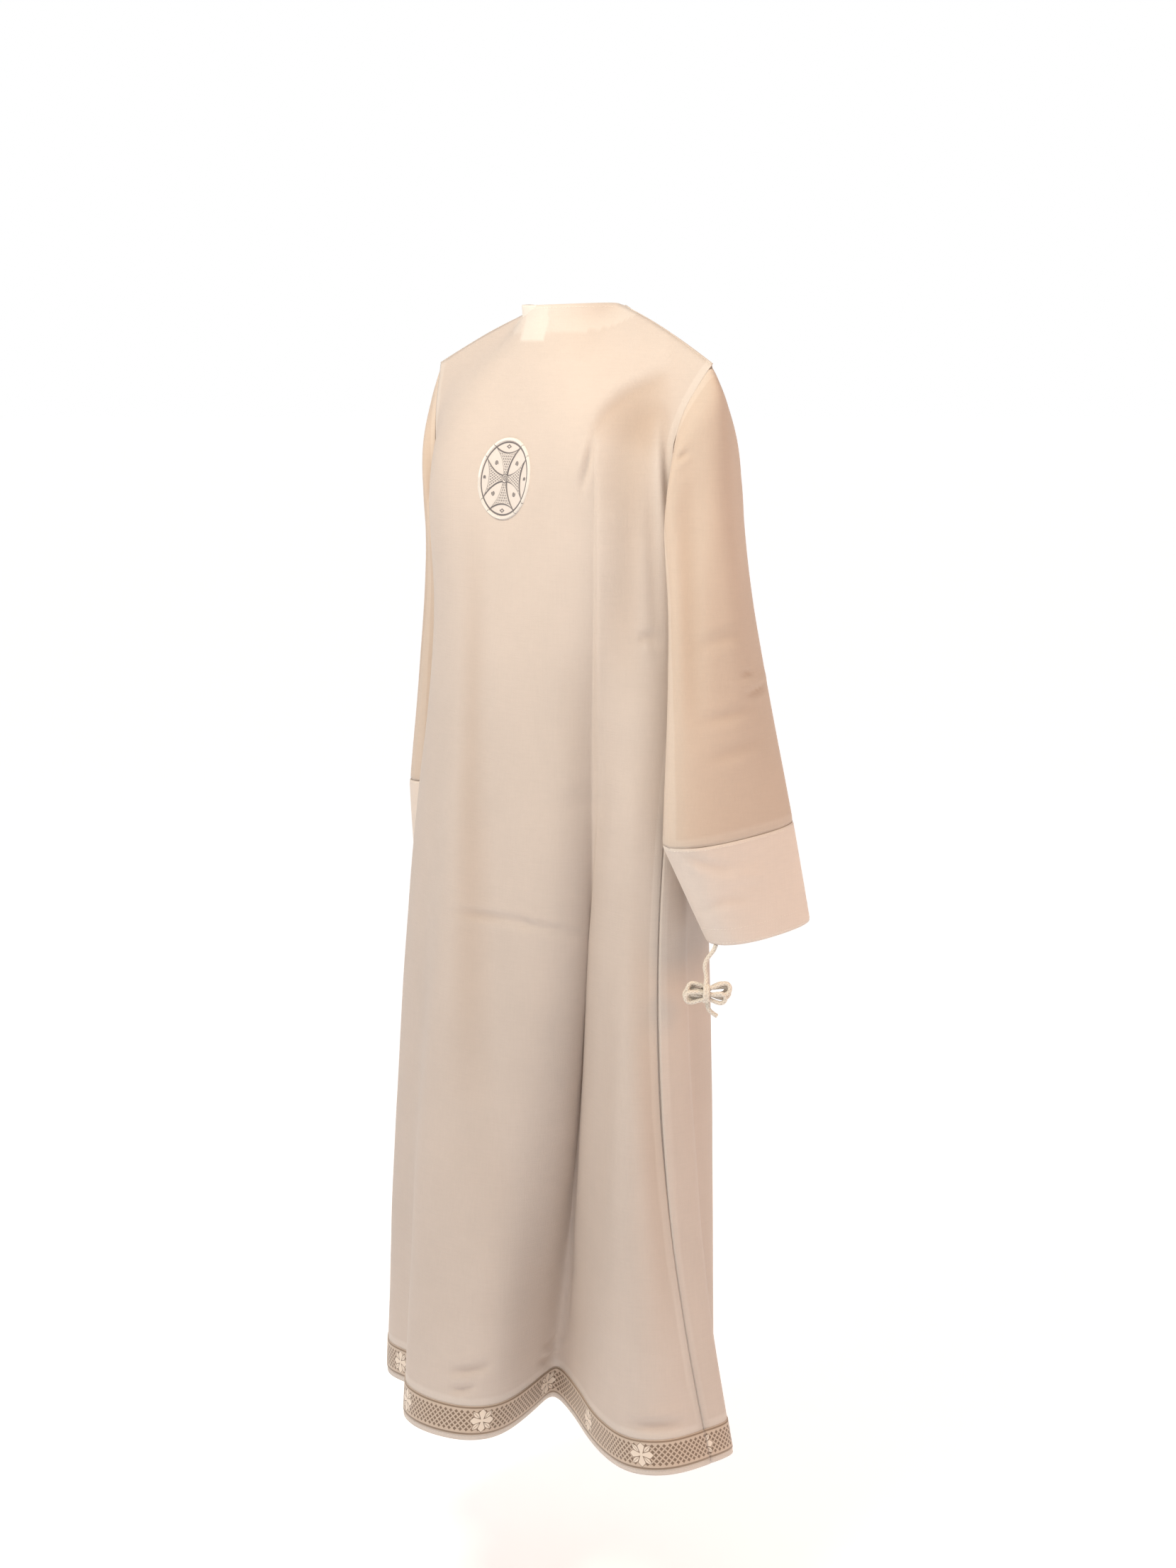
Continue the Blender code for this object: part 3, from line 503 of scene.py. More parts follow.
# Body, sleeves and cuffs: the middle of each in plan, and the fine steps across and down one cell of its solid
pieces = {
    "back": {"middle": (0, 0), "steps": 5, "closed": False},
    "front": {"middle": (0, 0), "steps": 7, "closed": False},
    "right_sleeve": {"rowSteps": 14, "steps": 8, "closed": True},
    "left_sleeve": {"rowSteps": 14, "steps": 8, "closed": True},
    "right_cuff": {"rowSteps": 12, "steps": 8, "closed": True},
    "left_cuff": {"rowSteps": 12, "steps": 8, "closed": True},
}
swells = ((0.11, 0.0012), (0.045, 0.0005))  # length and height of the slow unevenness
sheets = {}
for seed, (name, piece) in enumerate(pieces.items()):
    low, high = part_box(name)
    middle = piece.get("middle", ((low.x + high.x) / 2, (low.y + high.y) / 2))
    sheet = outerSheet(name, cloth["wall"], middle, cloth["fit"])
    coarse, missing = gridOf(sheet, piece["closed"])
    sheet.free()
    columns = coarse.shape[1] + (4 if piece["closed"] else -1)
    columnSteps = [piece["steps"]] * columns
    if piece["closed"]:
        rowSteps = [piece["rowSteps"]] * (len(coarse) - 1)
    else:
        gaps = np.linalg.norm(np.diff(coarse, axis=0), axis=-1).mean(axis=1)
        heights = coarse[..., 2].mean(axis=1)
        heights = (heights[1:] + heights[:-1]) / 2
        tight = [any(lower < height < upper for lower, upper in cloth["close"]) for height in heights]
        sizes = [cloth["closeRow" if small else "row"] for small in tight]
        rowSteps = [max(3, round(gap / size)) for gap, size in zip(gaps, sizes)]
    holes, slit = set(), 0
    if missing:
        slitColumn = missing[0][1]
        slit = slitColumn * piece["steps"]
        columnSteps[slitColumn] = 1
        slitRows = sum(rowSteps[: max(i for i, j in missing) + 1])
        holes = {(i, slit) for i in range(slitRows)}
    fine = fineGrid(coarse, rowSteps, columnSteps, piece["closed"])
    fine = eased(fine, slit + 1 if missing else 0)
    tree = treeOf(fine)
    # The second result is painted shade along the creases, kept for the shells' colour.
    fine, paintedShade = creased(fine, piece["closed"], creases[name], tree)
    fine = wavy(fine, piece["closed"], seed + 1, swells)
    sheets[name] = {"grid": fine, "paintedShade": paintedShade, "holes": holes, "slit": slit,
                    "rowSteps": rowSteps, "columnSteps": columnSteps}
    print("sheet", name, "of", fine.shape[0], "by", fine.shape[1])


def edgeGaps(grid):
    # Distances along the cloth from its left, right, upper and lower edge.
    left, top = arcs(grid, 1), arcs(grid, 0)
    return left, left[:, -1:] - left, top, top[-1:] - top


def lineAt(grid, closed, axis, gap, span=None):
    # The line that lies gap below the upper edge (axis 0), or gap in from the first column (axis 1).
    run = arcs(grid, axis)
    if gap < 0:
        run = (run[-1:] if axis == 0 else run[:, -1:]) - run
        gap = -gap
    index = np.abs(run - gap).argmin(axis=axis)
    normals = normalsOf(grid, closed)
    if axis == 0:
        columns = np.arange(grid.shape[1]) if span is None else np.arange(span[0], span[1] + 1)
        rows = index[columns]
    else:
        rows = np.arange(grid.shape[0]) if span is None else np.arange(span[0], span[1] + 1)
        columns = index[rows]
    return grid[rows, columns], normals[rows, columns]


# Shading: a node with its settings and inputs, a sum, and a mix of two colours
def shade(tree, kind, inputs=None, **settings):
    made = tree.nodes.new(kind)
    for key, value in settings.items():
        setattr(made, key, value)
    for key, value in (inputs or {}).items():
        if isinstance(value, bpy.types.NodeSocket):
            tree.links.new(value, made.inputs[key])
        else:
            made.inputs[key].default_value = value
    return made


def calc(tree, operation, *values):
    return shade(tree, "ShaderNodeMath", dict(enumerate(values)), operation=operation).outputs[0]


def mixColour(tree, amount, first, second):
    return shade(tree, "ShaderNodeMix", {0: amount, 6: first, 7: second}, data_type="RGBA").outputs[2]


def objectPlace(tree):
    return shade(tree, "ShaderNodeTexCoord").outputs["Object"]


def painted(tree, name):
    return shade(tree, "ShaderNodeAttribute", attribute_name=name).outputs["Fac"]


def surface(tree, principled, colour, height, strength, distance):
    # Links a material's colour and its relief.
    relief = shade(tree, "ShaderNodeBump", {"Height": height, "Strength": strength, "Distance": distance})
    tree.links.new(colour, principled.inputs["Base Color"])
    tree.links.new(relief.outputs[0], principled.inputs["Normal"])
    return relief.outputs[0]


def newGroup(name, inputs, outputs):
    group = bpy.data.node_groups.new(name, "ShaderNodeTree")
    for key, value in inputs.items():
        group.interface.new_socket(key, in_out="INPUT", socket_type="NodeSocketFloat").default_value = value
    for key in outputs:
        group.interface.new_socket(key, in_out="OUTPUT", socket_type="NodeSocketFloat")
    return group, group.nodes.new("NodeGroupInput").outputs, group.nodes.new("NodeGroupOutput").inputs


def newMaterial(name, roughness, sheen):
    material = bpy.data.materials.new(name)
    material.use_nodes = True
    tree = material.node_tree
    principled = tree.nodes["Principled BSDF"]
    principled.inputs["Roughness"].default_value = roughness
    principled.inputs["Sheen Weight"].default_value = sheen
    principled.inputs["Sheen Roughness"].default_value = 0.4
    principled.inputs["Specular IOR Level"].default_value = 0.3
    return material, tree, principled


def crepeGroup():
    # Pebbled threads: a height for the bump, and slow uneven tone.
    group, given, made = newGroup("crepe weave", {"Thread": 0.0007}, ("Height", "Tone"))
    place = objectPlace(group)
    size = calc(group, "DIVIDE", 1.0, given["Thread"])
    pebble = shade(group, "ShaderNodeTexNoise", {"Vector": place, "Scale": size, "Detail": 2.0, "Roughness": 0.6})
    flat = shade(group, "ShaderNodeMapping", {"Vector": place, "Scale": (60.0, 60.0, 900.0)})
    weft = shade(group, "ShaderNodeTexNoise", {"Vector": flat.outputs[0], "Scale": 1.0, "Detail": 1.0})
    tall = shade(group, "ShaderNodeMapping", {"Vector": place, "Scale": (800.0, 800.0, 40.0)})
    warp = shade(group, "ShaderNodeTexNoise", {"Vector": tall.outputs[0], "Scale": 1.0, "Detail": 1.0})
    threads = calc(group, "ADD", weft.outputs[0], warp.outputs[0])
    height = calc(group, "ADD", pebble.outputs[0], threads)
    slow = shade(group, "ShaderNodeTexNoise", {"Vector": place, "Scale": 9.0, "Detail": 3.0})
    fine = calc(group, "MULTIPLY", calc(group, "SUBTRACT", height, 1.5), 0.35)
    group.links.new(height, made["Height"])
    group.links.new(calc(group, "ADD", slow.outputs[0], fine), made["Tone"])
    return group


crepeWeave = crepeGroup()
# Painted shade: the colour in a crease's trough is multiplied by this.
creaseShadeTone = (0.86, 0.785, 0.715)  # a crease is this much darker


def clothMaterial(name, single, double, sheer, bump, thread=0.0007):
    # Thin cloth: light comes through where it is single, it is whiter where it lies double, and its creases are
    # darkened with painted shade.
    material, tree, principled = newMaterial(name, 0.82, 0.22)
    weave = shade(tree, "ShaderNodeGroup", node_tree=crepeWeave)
    weave.inputs["Thread"].default_value = thread
    layers = painted(tree, "layers")
    tone = shade(tree, "ShaderNodeMapRange", {"Value": weave.outputs["Tone"], "From Min": 0.25, "From Max": 0.75,
                                              "To Min": 0.955, "To Max": 1.02}).outputs[0]
    colour = mixColour(tree, layers, (*single, 1), (*double, 1))
    even = shade(tree, "ShaderNodeVectorMath", {0: colour, 1: tone}, operation="MULTIPLY").outputs[0]
    # Painted shade: the colour darkened along the creases' troughs.
    deep = shade(tree, "ShaderNodeVectorMath", {0: even, 1: creaseShadeTone}, operation="MULTIPLY").outputs[0]
    creaseShaded = mixColour(tree, painted(tree, "crease_shade"), even, deep)
    normal = surface(tree, principled, creaseShaded, weave.outputs["Height"], bump, 0.0004)
    glow = shade(tree, "ShaderNodeBsdfTranslucent", {"Color": creaseShaded, "Normal": normal})
    clear = shade(tree, "ShaderNodeBsdfTransparent", {"Color": (1, 1, 1, 1)})
    through = calc(tree, "MULTIPLY", calc(tree, "SUBTRACT", 1.0, layers), sheer)
    soft = shade(tree, "ShaderNodeMixShader", {0: 0.34, 1: principled.outputs[0], 2: glow.outputs[0]})
    last = shade(tree, "ShaderNodeMixShader", {0: through, 1: soft.outputs[0], 2: clear.outputs[0]})
    tree.links.new(last.outputs[0], tree.nodes["Material Output"].inputs["Surface"])
    return material


crepe = clothMaterial("white crepe", (0.738, 0.664, 0.613), (0.80, 0.750, 0.707), 0.10, 0.35)
# The sleeves' crepe is a darker, warmer copy of the body's: painted shade on the sleeves.
shadedSleeveCrepe = clothMaterial("sleeve crepe with painted shade", (0.735, 0.628, 0.540), (0.79, 0.715, 0.645), 0.10, 0.35)
cuffCloth = clothMaterial("cuff cloth", (0.86, 0.785, 0.725), (0.86, 0.785, 0.725), 0.0, 0.3)
facingCloth = clothMaterial("facing cloth", (0.86, 0.83, 0.79), (0.86, 0.83, 0.79), 0.0, 0.25)
labelCloth = clothMaterial("label cloth", (0.90, 0.885, 0.86), (0.90, 0.885, 0.86), 0.0, 0.15, 0.0004)


# How the pieces are sewn
sewn = {
    "allowance": 0.008,  # seam turnings, lying double
    "dip": 0.0005,  # how far a seam draws in
    "dipWidth": 0.0022,
    "facing": 0.027,  # depth of the faced neck edge
    "hem": 0.041,  # turned up
}
neckColumns = {"back": (24, 33), "front": (10, 19)}  # neck edge: first and last columns of the solid
necks = {name: [sum(sheets[name]["columnSteps"][:column]) for column in ends] for name, ends in neckColumns.items()}
labelLow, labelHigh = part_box("label")


def neckGap(grid, ends):
    edge = grid[0, ends[0] : ends[1] + 1 : 2]
    gap = np.full(grid.shape[:2], 1.0)
    rows = grid[:90]  # far enough down to pass the facing
    gap[:90] = np.linalg.norm(rows[:, :, None] - edge[None, None], axis=-1).min(-1)
    return gap


def clothMasks(name, grid, closed):
    left, right, top, bottom = edgeGaps(grid)
    if name.endswith("cuff"):
        return np.ones(grid.shape[:2])
    if closed:
        return np.maximum.reduce([near(gap, sewn["allowance"]) for gap in (left, right, top, bottom)]) * 0.4
    turned = np.maximum.reduce([near(gap, sewn["allowance"]) for gap in (left, right)]) * 0.4
    hem = near(bottom, sewn["hem"]) * 0.5
    faced = near(neckGap(grid, necks[name]), sewn["facing"]) * 0.5
    mask = np.maximum.reduce([turned, hem, faced])
    if name == "back":
        x, z = grid[..., 0], grid[..., 2]
        side = near(np.maximum(labelLow.x - 0.003 - x, x - labelHigh.x), 0.0)
        side = side * near(np.maximum(labelLow.z + 0.005 - z, z - labelHigh.z), 0.0)
        mask = np.maximum(mask, side)
    return mask


def drawnIn(name, grid, closed):
    # Each seam lies a little lower than the cloth beside it.
    left, right, top, bottom = edgeGaps(grid)
    gaps = [top, bottom] if closed else [left, right]
    if not closed:
        shoulder = top.copy()
        first, last = necks[name]
        shoulder[:, first : last + 1] = 1.0
        gaps.append(shoulder)
    dip = np.maximum.reduce([np.exp(-((gap / sewn["dipWidth"]) ** 2)) for gap in gaps])
    return grid - normalsOf(grid, closed) * (sewn["dip"] * dip)[..., None]


for name, sheet in sheets.items():
    closed = pieces[name]["closed"]
    grid = drawnIn(name, sheet["grid"], closed)
    sheet["grid"], sheet["tree"] = grid, treeOf(grid)
    mask = clothMasks(name, grid, closed)
    # The second mask is painted shade along the creases, darkening the cloth's colour.
    piece = gridPiece(f"{name}_shell", grid, {"layers": mask, "crease_shade": sheet["paintedShade"]}, closed, sheet["holes"])
    thicken(piece, cloth["shell"])
    material, slotName = crepe, "white_crepe"
    # The sleeves take the crepe copy with painted shade.
    if name.endswith("sleeve"):
        material = shadedSleeveCrepe
    elif name.endswith("cuff"):
        material, slotName = cuffCloth, "cuff_cloth"
    finishPiece(piece, material, slotName, name)
print("shells made")


def turnings(name, first, firstNormals, second, closed):
    # The cloth turned in behind a seam: a strip from one line to the nearest points of another.
    other = second[np.linalg.norm(first[:, None] - second[None], axis=-1).argmin(axis=1)]
    share = np.linspace(0, 1, 7)[:, None, None]
    inward = 0.0010 + 0.0006 * np.sin(math.pi * share)
    strip = first[None] * (1 - share) + other[None] * share - firstNormals[None] * inward
    made = gridPiece(name, strip, {"layers": np.ones(strip.shape[:2])}, closed)
    thicken(made, cloth["shell"])
    finishPiece(made, crepe, "white_crepe")


# Seams: each side's piece, across or down it, and how far in from its edge
seams = {
    "right_side": (("back", 1, 0.005), ("front", 1, -0.005)),
    "left_side": (("back", 1, -0.005), ("front", 1, 0.005)),
    "right_cuff_seam": (("right_sleeve", 0, -0.005), ("right_cuff", 0, 0.005)),
    "left_cuff_seam": (("left_sleeve", 0, -0.005), ("left_cuff", 0, 0.005)),
}
for name, ((one, axis, gap), (other, otherAxis, otherGap)) in seams.items():
    closed = pieces[one]["closed"]
    line, normals = lineAt(sheets[one]["grid"], closed, axis, gap)
    beyond = lineAt(sheets[other]["grid"], closed, otherAxis, otherGap)[0]
    turnings(f"{name}_turnings", line, normals, beyond, closed)
print("seams closed")


# Facing and label inside the back of the neck
inner = {
    "neck_facing": {"material": facingCloth, "steps": (6, 6), "sheet": (0.201, 0.072, 0.0092)},
    "label": {"material": labelCloth, "steps": (6, 8), "sheet": (0.031, 0.035, 0.00106)},
}
for name, piece in inner.items():
    sheet = outerSheet(name, cloth["thinWall"], (0, 0), cloth["thinFit"])
    coarse, missing = gridOf(sheet, False)
    sheet.free()
    rowSteps, columnSteps = ([count] * (size - 1) for count, size in zip(piece["steps"], coarse.shape))
    fine = fineGrid(coarse, rowSteps, columnSteps, False)
    made = gridPiece(f"{name}_sheet", fine, {"layers": np.ones(fine.shape[:2])})
    thicken(made, cloth["shell"])
    finishPiece(made, piece["material"], "blank_label" if name == "label" else "white_crepe", name)
print("facing and label made")

# Sewing thread: stitches as short sunk capsules
stitch = {"length": 0.0022, "gap": 0.0008, "radius": 0.00021}
threads = bmesh.new()


def stitchRow(points, normals, lift=0.0001):
    # Even stitches along a line of points that lies on the cloth.
    steps = np.linalg.norm(np.diff(points, axis=0), axis=1)
    run = np.concatenate([[0], np.cumsum(steps)])
    pitch = stitch["length"] + stitch["gap"]
    for start in np.arange(pitch / 2, run[-1] - pitch, pitch):
        ends = []
        for spot in (start, start + stitch["length"]):
            place = np.array([np.interp(spot, run, points[:, k]) for k in range(3)])
            normal = np.array([np.interp(spot, run, normals[:, k]) for k in range(3)])
            ends.append(Vector(place + normal * lift))
        middle, along = (ends[0] + ends[1]) / 2, ends[1] - ends[0]
        turn = along.to_track_quat("Z", "Y").to_matrix().to_4x4()
        size = Matrix.Diagonal((stitch["radius"], stitch["radius"], along.length / 2, 1))
        matrix = Matrix.Translation(middle) @ turn @ size
        bmesh.ops.create_icosphere(threads, subdivisions=1, radius=1.0, matrix=matrix)


for name, sheet in sheets.items():
    grid, closed = sheet["grid"], pieces[name]["closed"]
    if name.endswith("cuff"):
        for gap in (0.003, -0.003, -0.016):
            stitchRow(*lineAt(grid, closed, 0, gap))
    elif not closed:
        stitchRow(*lineAt(grid, closed, 0, -0.003))
        if name == "back":
            stitchRow(*lineAt(grid, closed, 0, 0.004, necks[name]))
        else:
            stitchRow(*lineAt(grid, closed, 0, 0.004, (necks[name][0], sheet["slit"] - 1)))
            stitchRow(*lineAt(grid, closed, 0, 0.004, (sheet["slit"] + 2, necks[name][1])))

threadData = bpy.data.meshes.new("stitches")
threads.to_mesh(threadData)
threads.free()
threadData.shade_smooth()
threadPiece = newObject("stitches", threadData)


def threadMaterial():
    material, tree, principled = newMaterial("sewing thread", 0.6, 0.3)
    place = objectPlace(tree)
    twist = shade(tree, "ShaderNodeTexWave", {"Vector": place, "Scale": 900.0}, bands_direction="DIAGONAL")
    colour = mixColour(tree, twist.outputs[1], (0.78, 0.72, 0.66, 1), (0.90, 0.86, 0.81, 1))
    tree.links.new(colour, principled.inputs["Base Color"])
    return material


thread = threadMaterial()
finishPiece(threadPiece, thread, "white_crepe")
print("stitches sewn")

# Woven band above the hem
galloon = {
    "length": {"back": 0.698, "front": 0.657},
    "height": 0.028,
    "lift": 0.0007,
    "thick": 0.0006,
    "mesh": 0.0056,  # across one diamond of the net
    "net": 0.34,  # share of it that the light threads take
    "repeat": 0.0945,  # from cross to cross
    "arm": 0.0112,
    "leaf": 0.0078,  # from a cross's middle to the middle of its leaves
    "rows": (23, 24),  # rows of the panels' solids that it lies between
    "shift": {"back": 0.0265, "front": 0.012},
}


def tent(tree, value, period, phase=0.0):
    # 0 at each multiple of the period, 1 half-way between.
    moved = calc(tree, "ADD", value, phase)
    return calc(tree, "MULTIPLY", calc(tree, "PINGPONG", moved, period / 2), 2 / period)


def below(tree, value, limit, soft):
    # 1 where value is under limit, 0 above it.
    ends = {"From Min": -soft, "From Max": soft}
    return shade(tree, "ShaderNodeMapRange", {"Value": calc(tree, "SUBTRACT", limit, value), **ends}).outputs[0]


def galloonGroup():
    # The woven pattern in metres: dark diamonds on a light net, edge stripes, and pointed crosses with leaves.
    group, given, made = newGroup("woven galloon", {"Along": 0.0, "Down": 0.0}, ("Dark", "Stripe", "Figure", "Height"))
    along = given["Along"]
    down = calc(group, "SUBTRACT", given["Down"], galloon["height"] / 2)
    offMiddle = calc(group, "ABSOLUTE", down)
    soft, slant = 0.00018, galloon["mesh"]
    rise = tent(group, calc(group, "ADD", along, down), slant)
    fall = tent(group, calc(group, "SUBTRACT", along, down), slant)
    net = below(group, calc(group, "MINIMUM", rise, fall), galloon["net"], 0.08)
    zigzag = calc(group, "ADD", offMiddle, calc(group, "PINGPONG", along, slant / 2))
    field = below(group, zigzag, 2 * slant, soft)
    x = calc(group, "PINGPONG", along, galloon["repeat"] / 2)

    def crossed(grow):
        parts = []
        for side, far in ((x, offMiddle), (offMiddle, x)):
            flare = calc(group, "ADD", calc(group, "MULTIPLY", far, 0.34), 0.0007 + grow)
            point = calc(group, "SUBTRACT", galloon["arm"] + grow, far)
            parts.append(below(group, side, calc(group, "MINIMUM", flare, point), soft))
        diagonal = calc(group, "MULTIPLY", calc(group, "ADD", x, offMiddle), 0.7071)
        aside = calc(group, "ABSOLUTE", calc(group, "MULTIPLY", calc(group, "SUBTRACT", x, offMiddle), 0.7071))
        middle = calc(group, "ABSOLUTE", calc(group, "SUBTRACT", diagonal, galloon["leaf"]))
        curve = calc(group, "MULTIPLY", calc(group, "MULTIPLY", middle, middle), 110.0)
        leaf = calc(group, "SUBTRACT", 0.0020 + grow, curve)
        parts.append(below(group, aside, leaf, soft))
        vein = below(group, aside, 0.00028, 0.00012)
        vein = calc(group, "MULTIPLY", vein, below(group, middle, 0.0034, soft))
        return calc(group, "MAXIMUM", calc(group, "MAXIMUM", parts[0], parts[1]), parts[2]), vein

    figure, vein = crossed(0.0)
    grown, unused = crossed(0.0006)
    diamonds = calc(group, "MULTIPLY", calc(group, "SUBTRACT", 1.0, net), field)
    dark = calc(group, "MAXIMUM", diamonds, calc(group, "MULTIPLY", grown, 0.8))
    dark = calc(group, "MULTIPLY", dark, calc(group, "SUBTRACT", 1.0, figure))
    dark = calc(group, "MAXIMUM", dark, calc(group, "MULTIPLY", vein, 0.7))
    stripe = below(group, calc(group, "ABSOLUTE", calc(group, "SUBTRACT", offMiddle, 0.01255)), 0.00085, soft)
    rib = calc(group, "ADD", tent(group, down, 0.0007), calc(group, "MULTIPLY", tent(group, along, 0.0009), 0.6))
    height = calc(group, "ADD", calc(group, "SUBTRACT", figure, dark), calc(group, "MULTIPLY", rib, 0.3))
    for key, value in (("Dark", dark), ("Stripe", stripe), ("Figure", figure), ("Height", height)):
        group.links.new(value, made[key])
    return group


def galloonMaterial():
    material, tree, principled = newMaterial("woven band", 0.62, 0.25)
    uv = shade(tree, "ShaderNodeSeparateXYZ", {0: shade(tree, "ShaderNodeUVMap", uv_map="UVMap").outputs[0]})
    woven = shade(tree, "ShaderNodeGroup", {"Along": uv.outputs[0], "Down": calc(tree, "MULTIPLY", uv.outputs[1], -1.0)},
                  node_tree=galloonGroup())
    place = objectPlace(tree)
    slub = shade(tree, "ShaderNodeTexNoise", {"Vector": place, "Scale": 1100.0, "Detail": 2.0})
    ground = mixColour(tree, slub.outputs[0], (0.47, 0.375, 0.302, 1), (0.62, 0.51, 0.425, 1))
    lit = mixColour(tree, woven.outputs["Figure"], ground, (0.76, 0.66, 0.57, 1))
    striped = mixColour(tree, calc(tree, "MULTIPLY", woven.outputs["Stripe"], 0.9), lit, (0.235, 0.170, 0.122, 1))
    shaded = mixColour(tree, calc(tree, "MULTIPLY", woven.outputs["Dark"], 0.92), striped, (0.180, 0.125, 0.088, 1))
    height = calc(tree, "ADD", woven.outputs["Height"], calc(tree, "MULTIPLY", slub.outputs[0], 0.5))
    surface(tree, principled, shaded, height, 0.6, 0.0004)
    return material


bandCloth = galloonMaterial()
for name in ("back", "front"):
    grid = sheets[name]["grid"]
    first, last = (sum(sheets[name]["rowSteps"][:row]) for row in galloon["rows"])
    lifted = (grid + normalsOf(grid, False) * galloon["lift"])[first : last + 1]
    middle = arcs(lifted, 1)[len(lifted) // 2] + galloon["shift"][name]
    downward = np.linspace(0, galloon["height"], len(lifted))
    flat = np.stack(np.broadcast_arrays(middle[None], -downward[:, None]), axis=-1)
    band = gridPiece(f"band_{name}", lifted, {"layers": np.ones(lifted.shape[:2])}, flat=flat)
    thicken(band, galloon["thick"])
    finishPiece(band, bandCloth, "woven_band", f"hem_band_{name}")
print("woven band made")


# Embroidered patch: a cross with flared arms in a ring
patch = {
    "radius": 0.0365,
    "rings": 120,
    "spokes": 400,
    "lift": 0.0006,
    "edge": 0.0011,  # the satin-stitched rim
    "figure": 0.0007,
    "thread": 0.00035,
}


def spiral(centre, size, turns, start, side):
    # A curl as a line of points.
    angle = np.linspace(0, turns * 2 * math.pi, 60)
    radius = size * (0.12 + 0.88 * angle / angle[-1])
    x = centre[0] + side * radius * np.cos(angle + start)
    return np.stack([x, centre[1] + radius * np.sin(angle + start)], axis=-1)


def patchPattern(x, y):
    # Masks over the patch, in millimetres from its middle: dark thread, filling, and height.
    def arm(across, along):
        sides = 2.6 + 11.1 * (np.abs(along) / 24.5) ** 2.2
        end = 22.6 + 3.2 * (np.abs(across) / 13.7) ** 2
        return np.minimum(sides - np.abs(across), (end - np.abs(along)) * 0.9)

    inside = np.maximum(arm(x, y), arm(y, x * 1.03))
    reach = np.hypot(x, y)

    def band(distance, width):
        return np.clip((width - np.abs(distance)) / 0.25 + 0.5, 0, 1)

    dark = np.maximum(band(inside, 0.62), band(reach - 32.3, 0.80))
    hub = band(reach - 3.9, 0.5)
    curls = [spiral((0, 0), 2.9, 1.6, 0.4, 1)]
    for sx in (-1, 1):
        for sy in (-1, 1):
            curls.append(spiral((14.6 * sx, 13.4 * sy), 2.2, 1.5, 0.3 if sy > 0 else 3.4, sx))
        curls.append(spiral((28.6 * sx, 0.4), 1.7, 1.4, 1.2, sx))
    line = np.concatenate(curls)
    gap = np.full(x.shape, 99.0)
    for spot in line:
        gap = np.minimum(gap, np.hypot(x - spot[0], y - spot[1]))
    dark = np.maximum.reduce([dark * (reach > 3.9), hub, band(gap, 0.5)])
    lozenge = np.abs(np.abs(y) - 28.4) / 1.5 + np.abs(x) / 2.6
    dark = np.maximum(dark, band((lozenge - 1) * 1.3, 0.5))
    # Teardrop stitches fill the arms in rows.
    side = np.abs(y) >= np.abs(x)
    u, v = np.where(side, x, y), np.where(side, np.abs(y), np.abs(x))
    row = np.floor(v / 2.3)
    cell = (u + (row % 2) * 1.25) % 2.5 - 1.25
    drop = np.hypot(cell / 0.80, (v % 2.3 - 1.15) / 0.95 + 0.25 * cell)
    filling = np.clip((1 - drop) / 0.35 + 0.5, 0, 1) * (inside > 1.1) * (reach > 5.0)
    raised = np.clip(inside / 0.8 + 0.5, 0, 1)
    rim = np.clip((reach - 33.4) / 0.5, 0, 1) * np.sqrt(np.clip((36.9 - reach) / 1.4, 0, 1))
    return np.maximum(dark, filling * 0.85), rim, raised


def patchPiece():
    low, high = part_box("medallion")
    centre = (low + high) / 2
    tree = sheets["back"]["tree"]
    ring = np.linspace(0, patch["radius"], patch["rings"] + 1)[1:]
    angle = np.linspace(0, 2 * math.pi, patch["spokes"] + 1)
    x, z = ring[:, None] * np.cos(angle), ring[:, None] * np.sin(angle)
    dark, rim, raised = patchPattern(x * 1000, z * 1000)
    height = patch["lift"] + patch["edge"] * rim + patch["figure"] * raised + patch["thread"] * dark
    height[-1] = -0.0002
    points = np.empty((*x.shape, 3))
    for i in range(x.shape[0]):
        for j in range(x.shape[1]):
            start = Vector((centre.x + x[i, j], 1.0, centre.z + z[i, j]))
            spot, normal = tree.ray_cast(start, Vector((0, -1, 0)))[:2]
            normal = normal if normal.y > 0 else -normal
            points[i, j] = spot + normal * height[i, j]
    return points, {"thread": dark, "rim": rim, "layers": np.ones(dark.shape)}


def patchMaterial():
    material, tree, principled = newMaterial("patch embroidery", 0.5, 0.35)
    thread, rim = painted(tree, "thread"), painted(tree, "rim")
    place = objectPlace(tree)
    stretched = shade(tree, "ShaderNodeMapping", {"Vector": place, "Scale": (2400.0, 500.0, 500.0)})
    strand = shade(tree, "ShaderNodeTexNoise", {"Vector": stretched.outputs[0], "Scale": 1.0, "Detail": 1.0})
    ground = mixColour(tree, strand.outputs[0], (0.52, 0.475, 0.452, 1), (0.65, 0.608, 0.582, 1))
    edged = mixColour(tree, rim, ground, (0.80, 0.76, 0.72, 1))
    figured = mixColour(tree, calc(tree, "MULTIPLY", thread, 0.9), edged, (0.075, 0.068, 0.076, 1))
    spin = shade(tree, "ShaderNodeUVMap", uv_map="UVMap").outputs[0]
    radial = shade(tree, "ShaderNodeTexWave", {"Vector": spin, "Scale": 430.0, "Distortion": 0.6}, bands_direction="X")
    height = calc(tree, "ADD", calc(tree, "MULTIPLY", radial.outputs[1], rim), strand.outputs[0])
    surface(tree, principled, figured, height, 0.6, 0.0003)
    return material


points, masks = patchPiece()
points = np.concatenate([points[:1] * 0 + points[0].mean(axis=0), points])  # closed at its middle
masks = {key: np.concatenate([mask[:1] * 0, mask]) for key, mask in masks.items()}
patchObject = gridPiece("patch", points, masks, True)
finishPiece(patchObject, patchMaterial(), "patch", "medallion")
print("patch made")


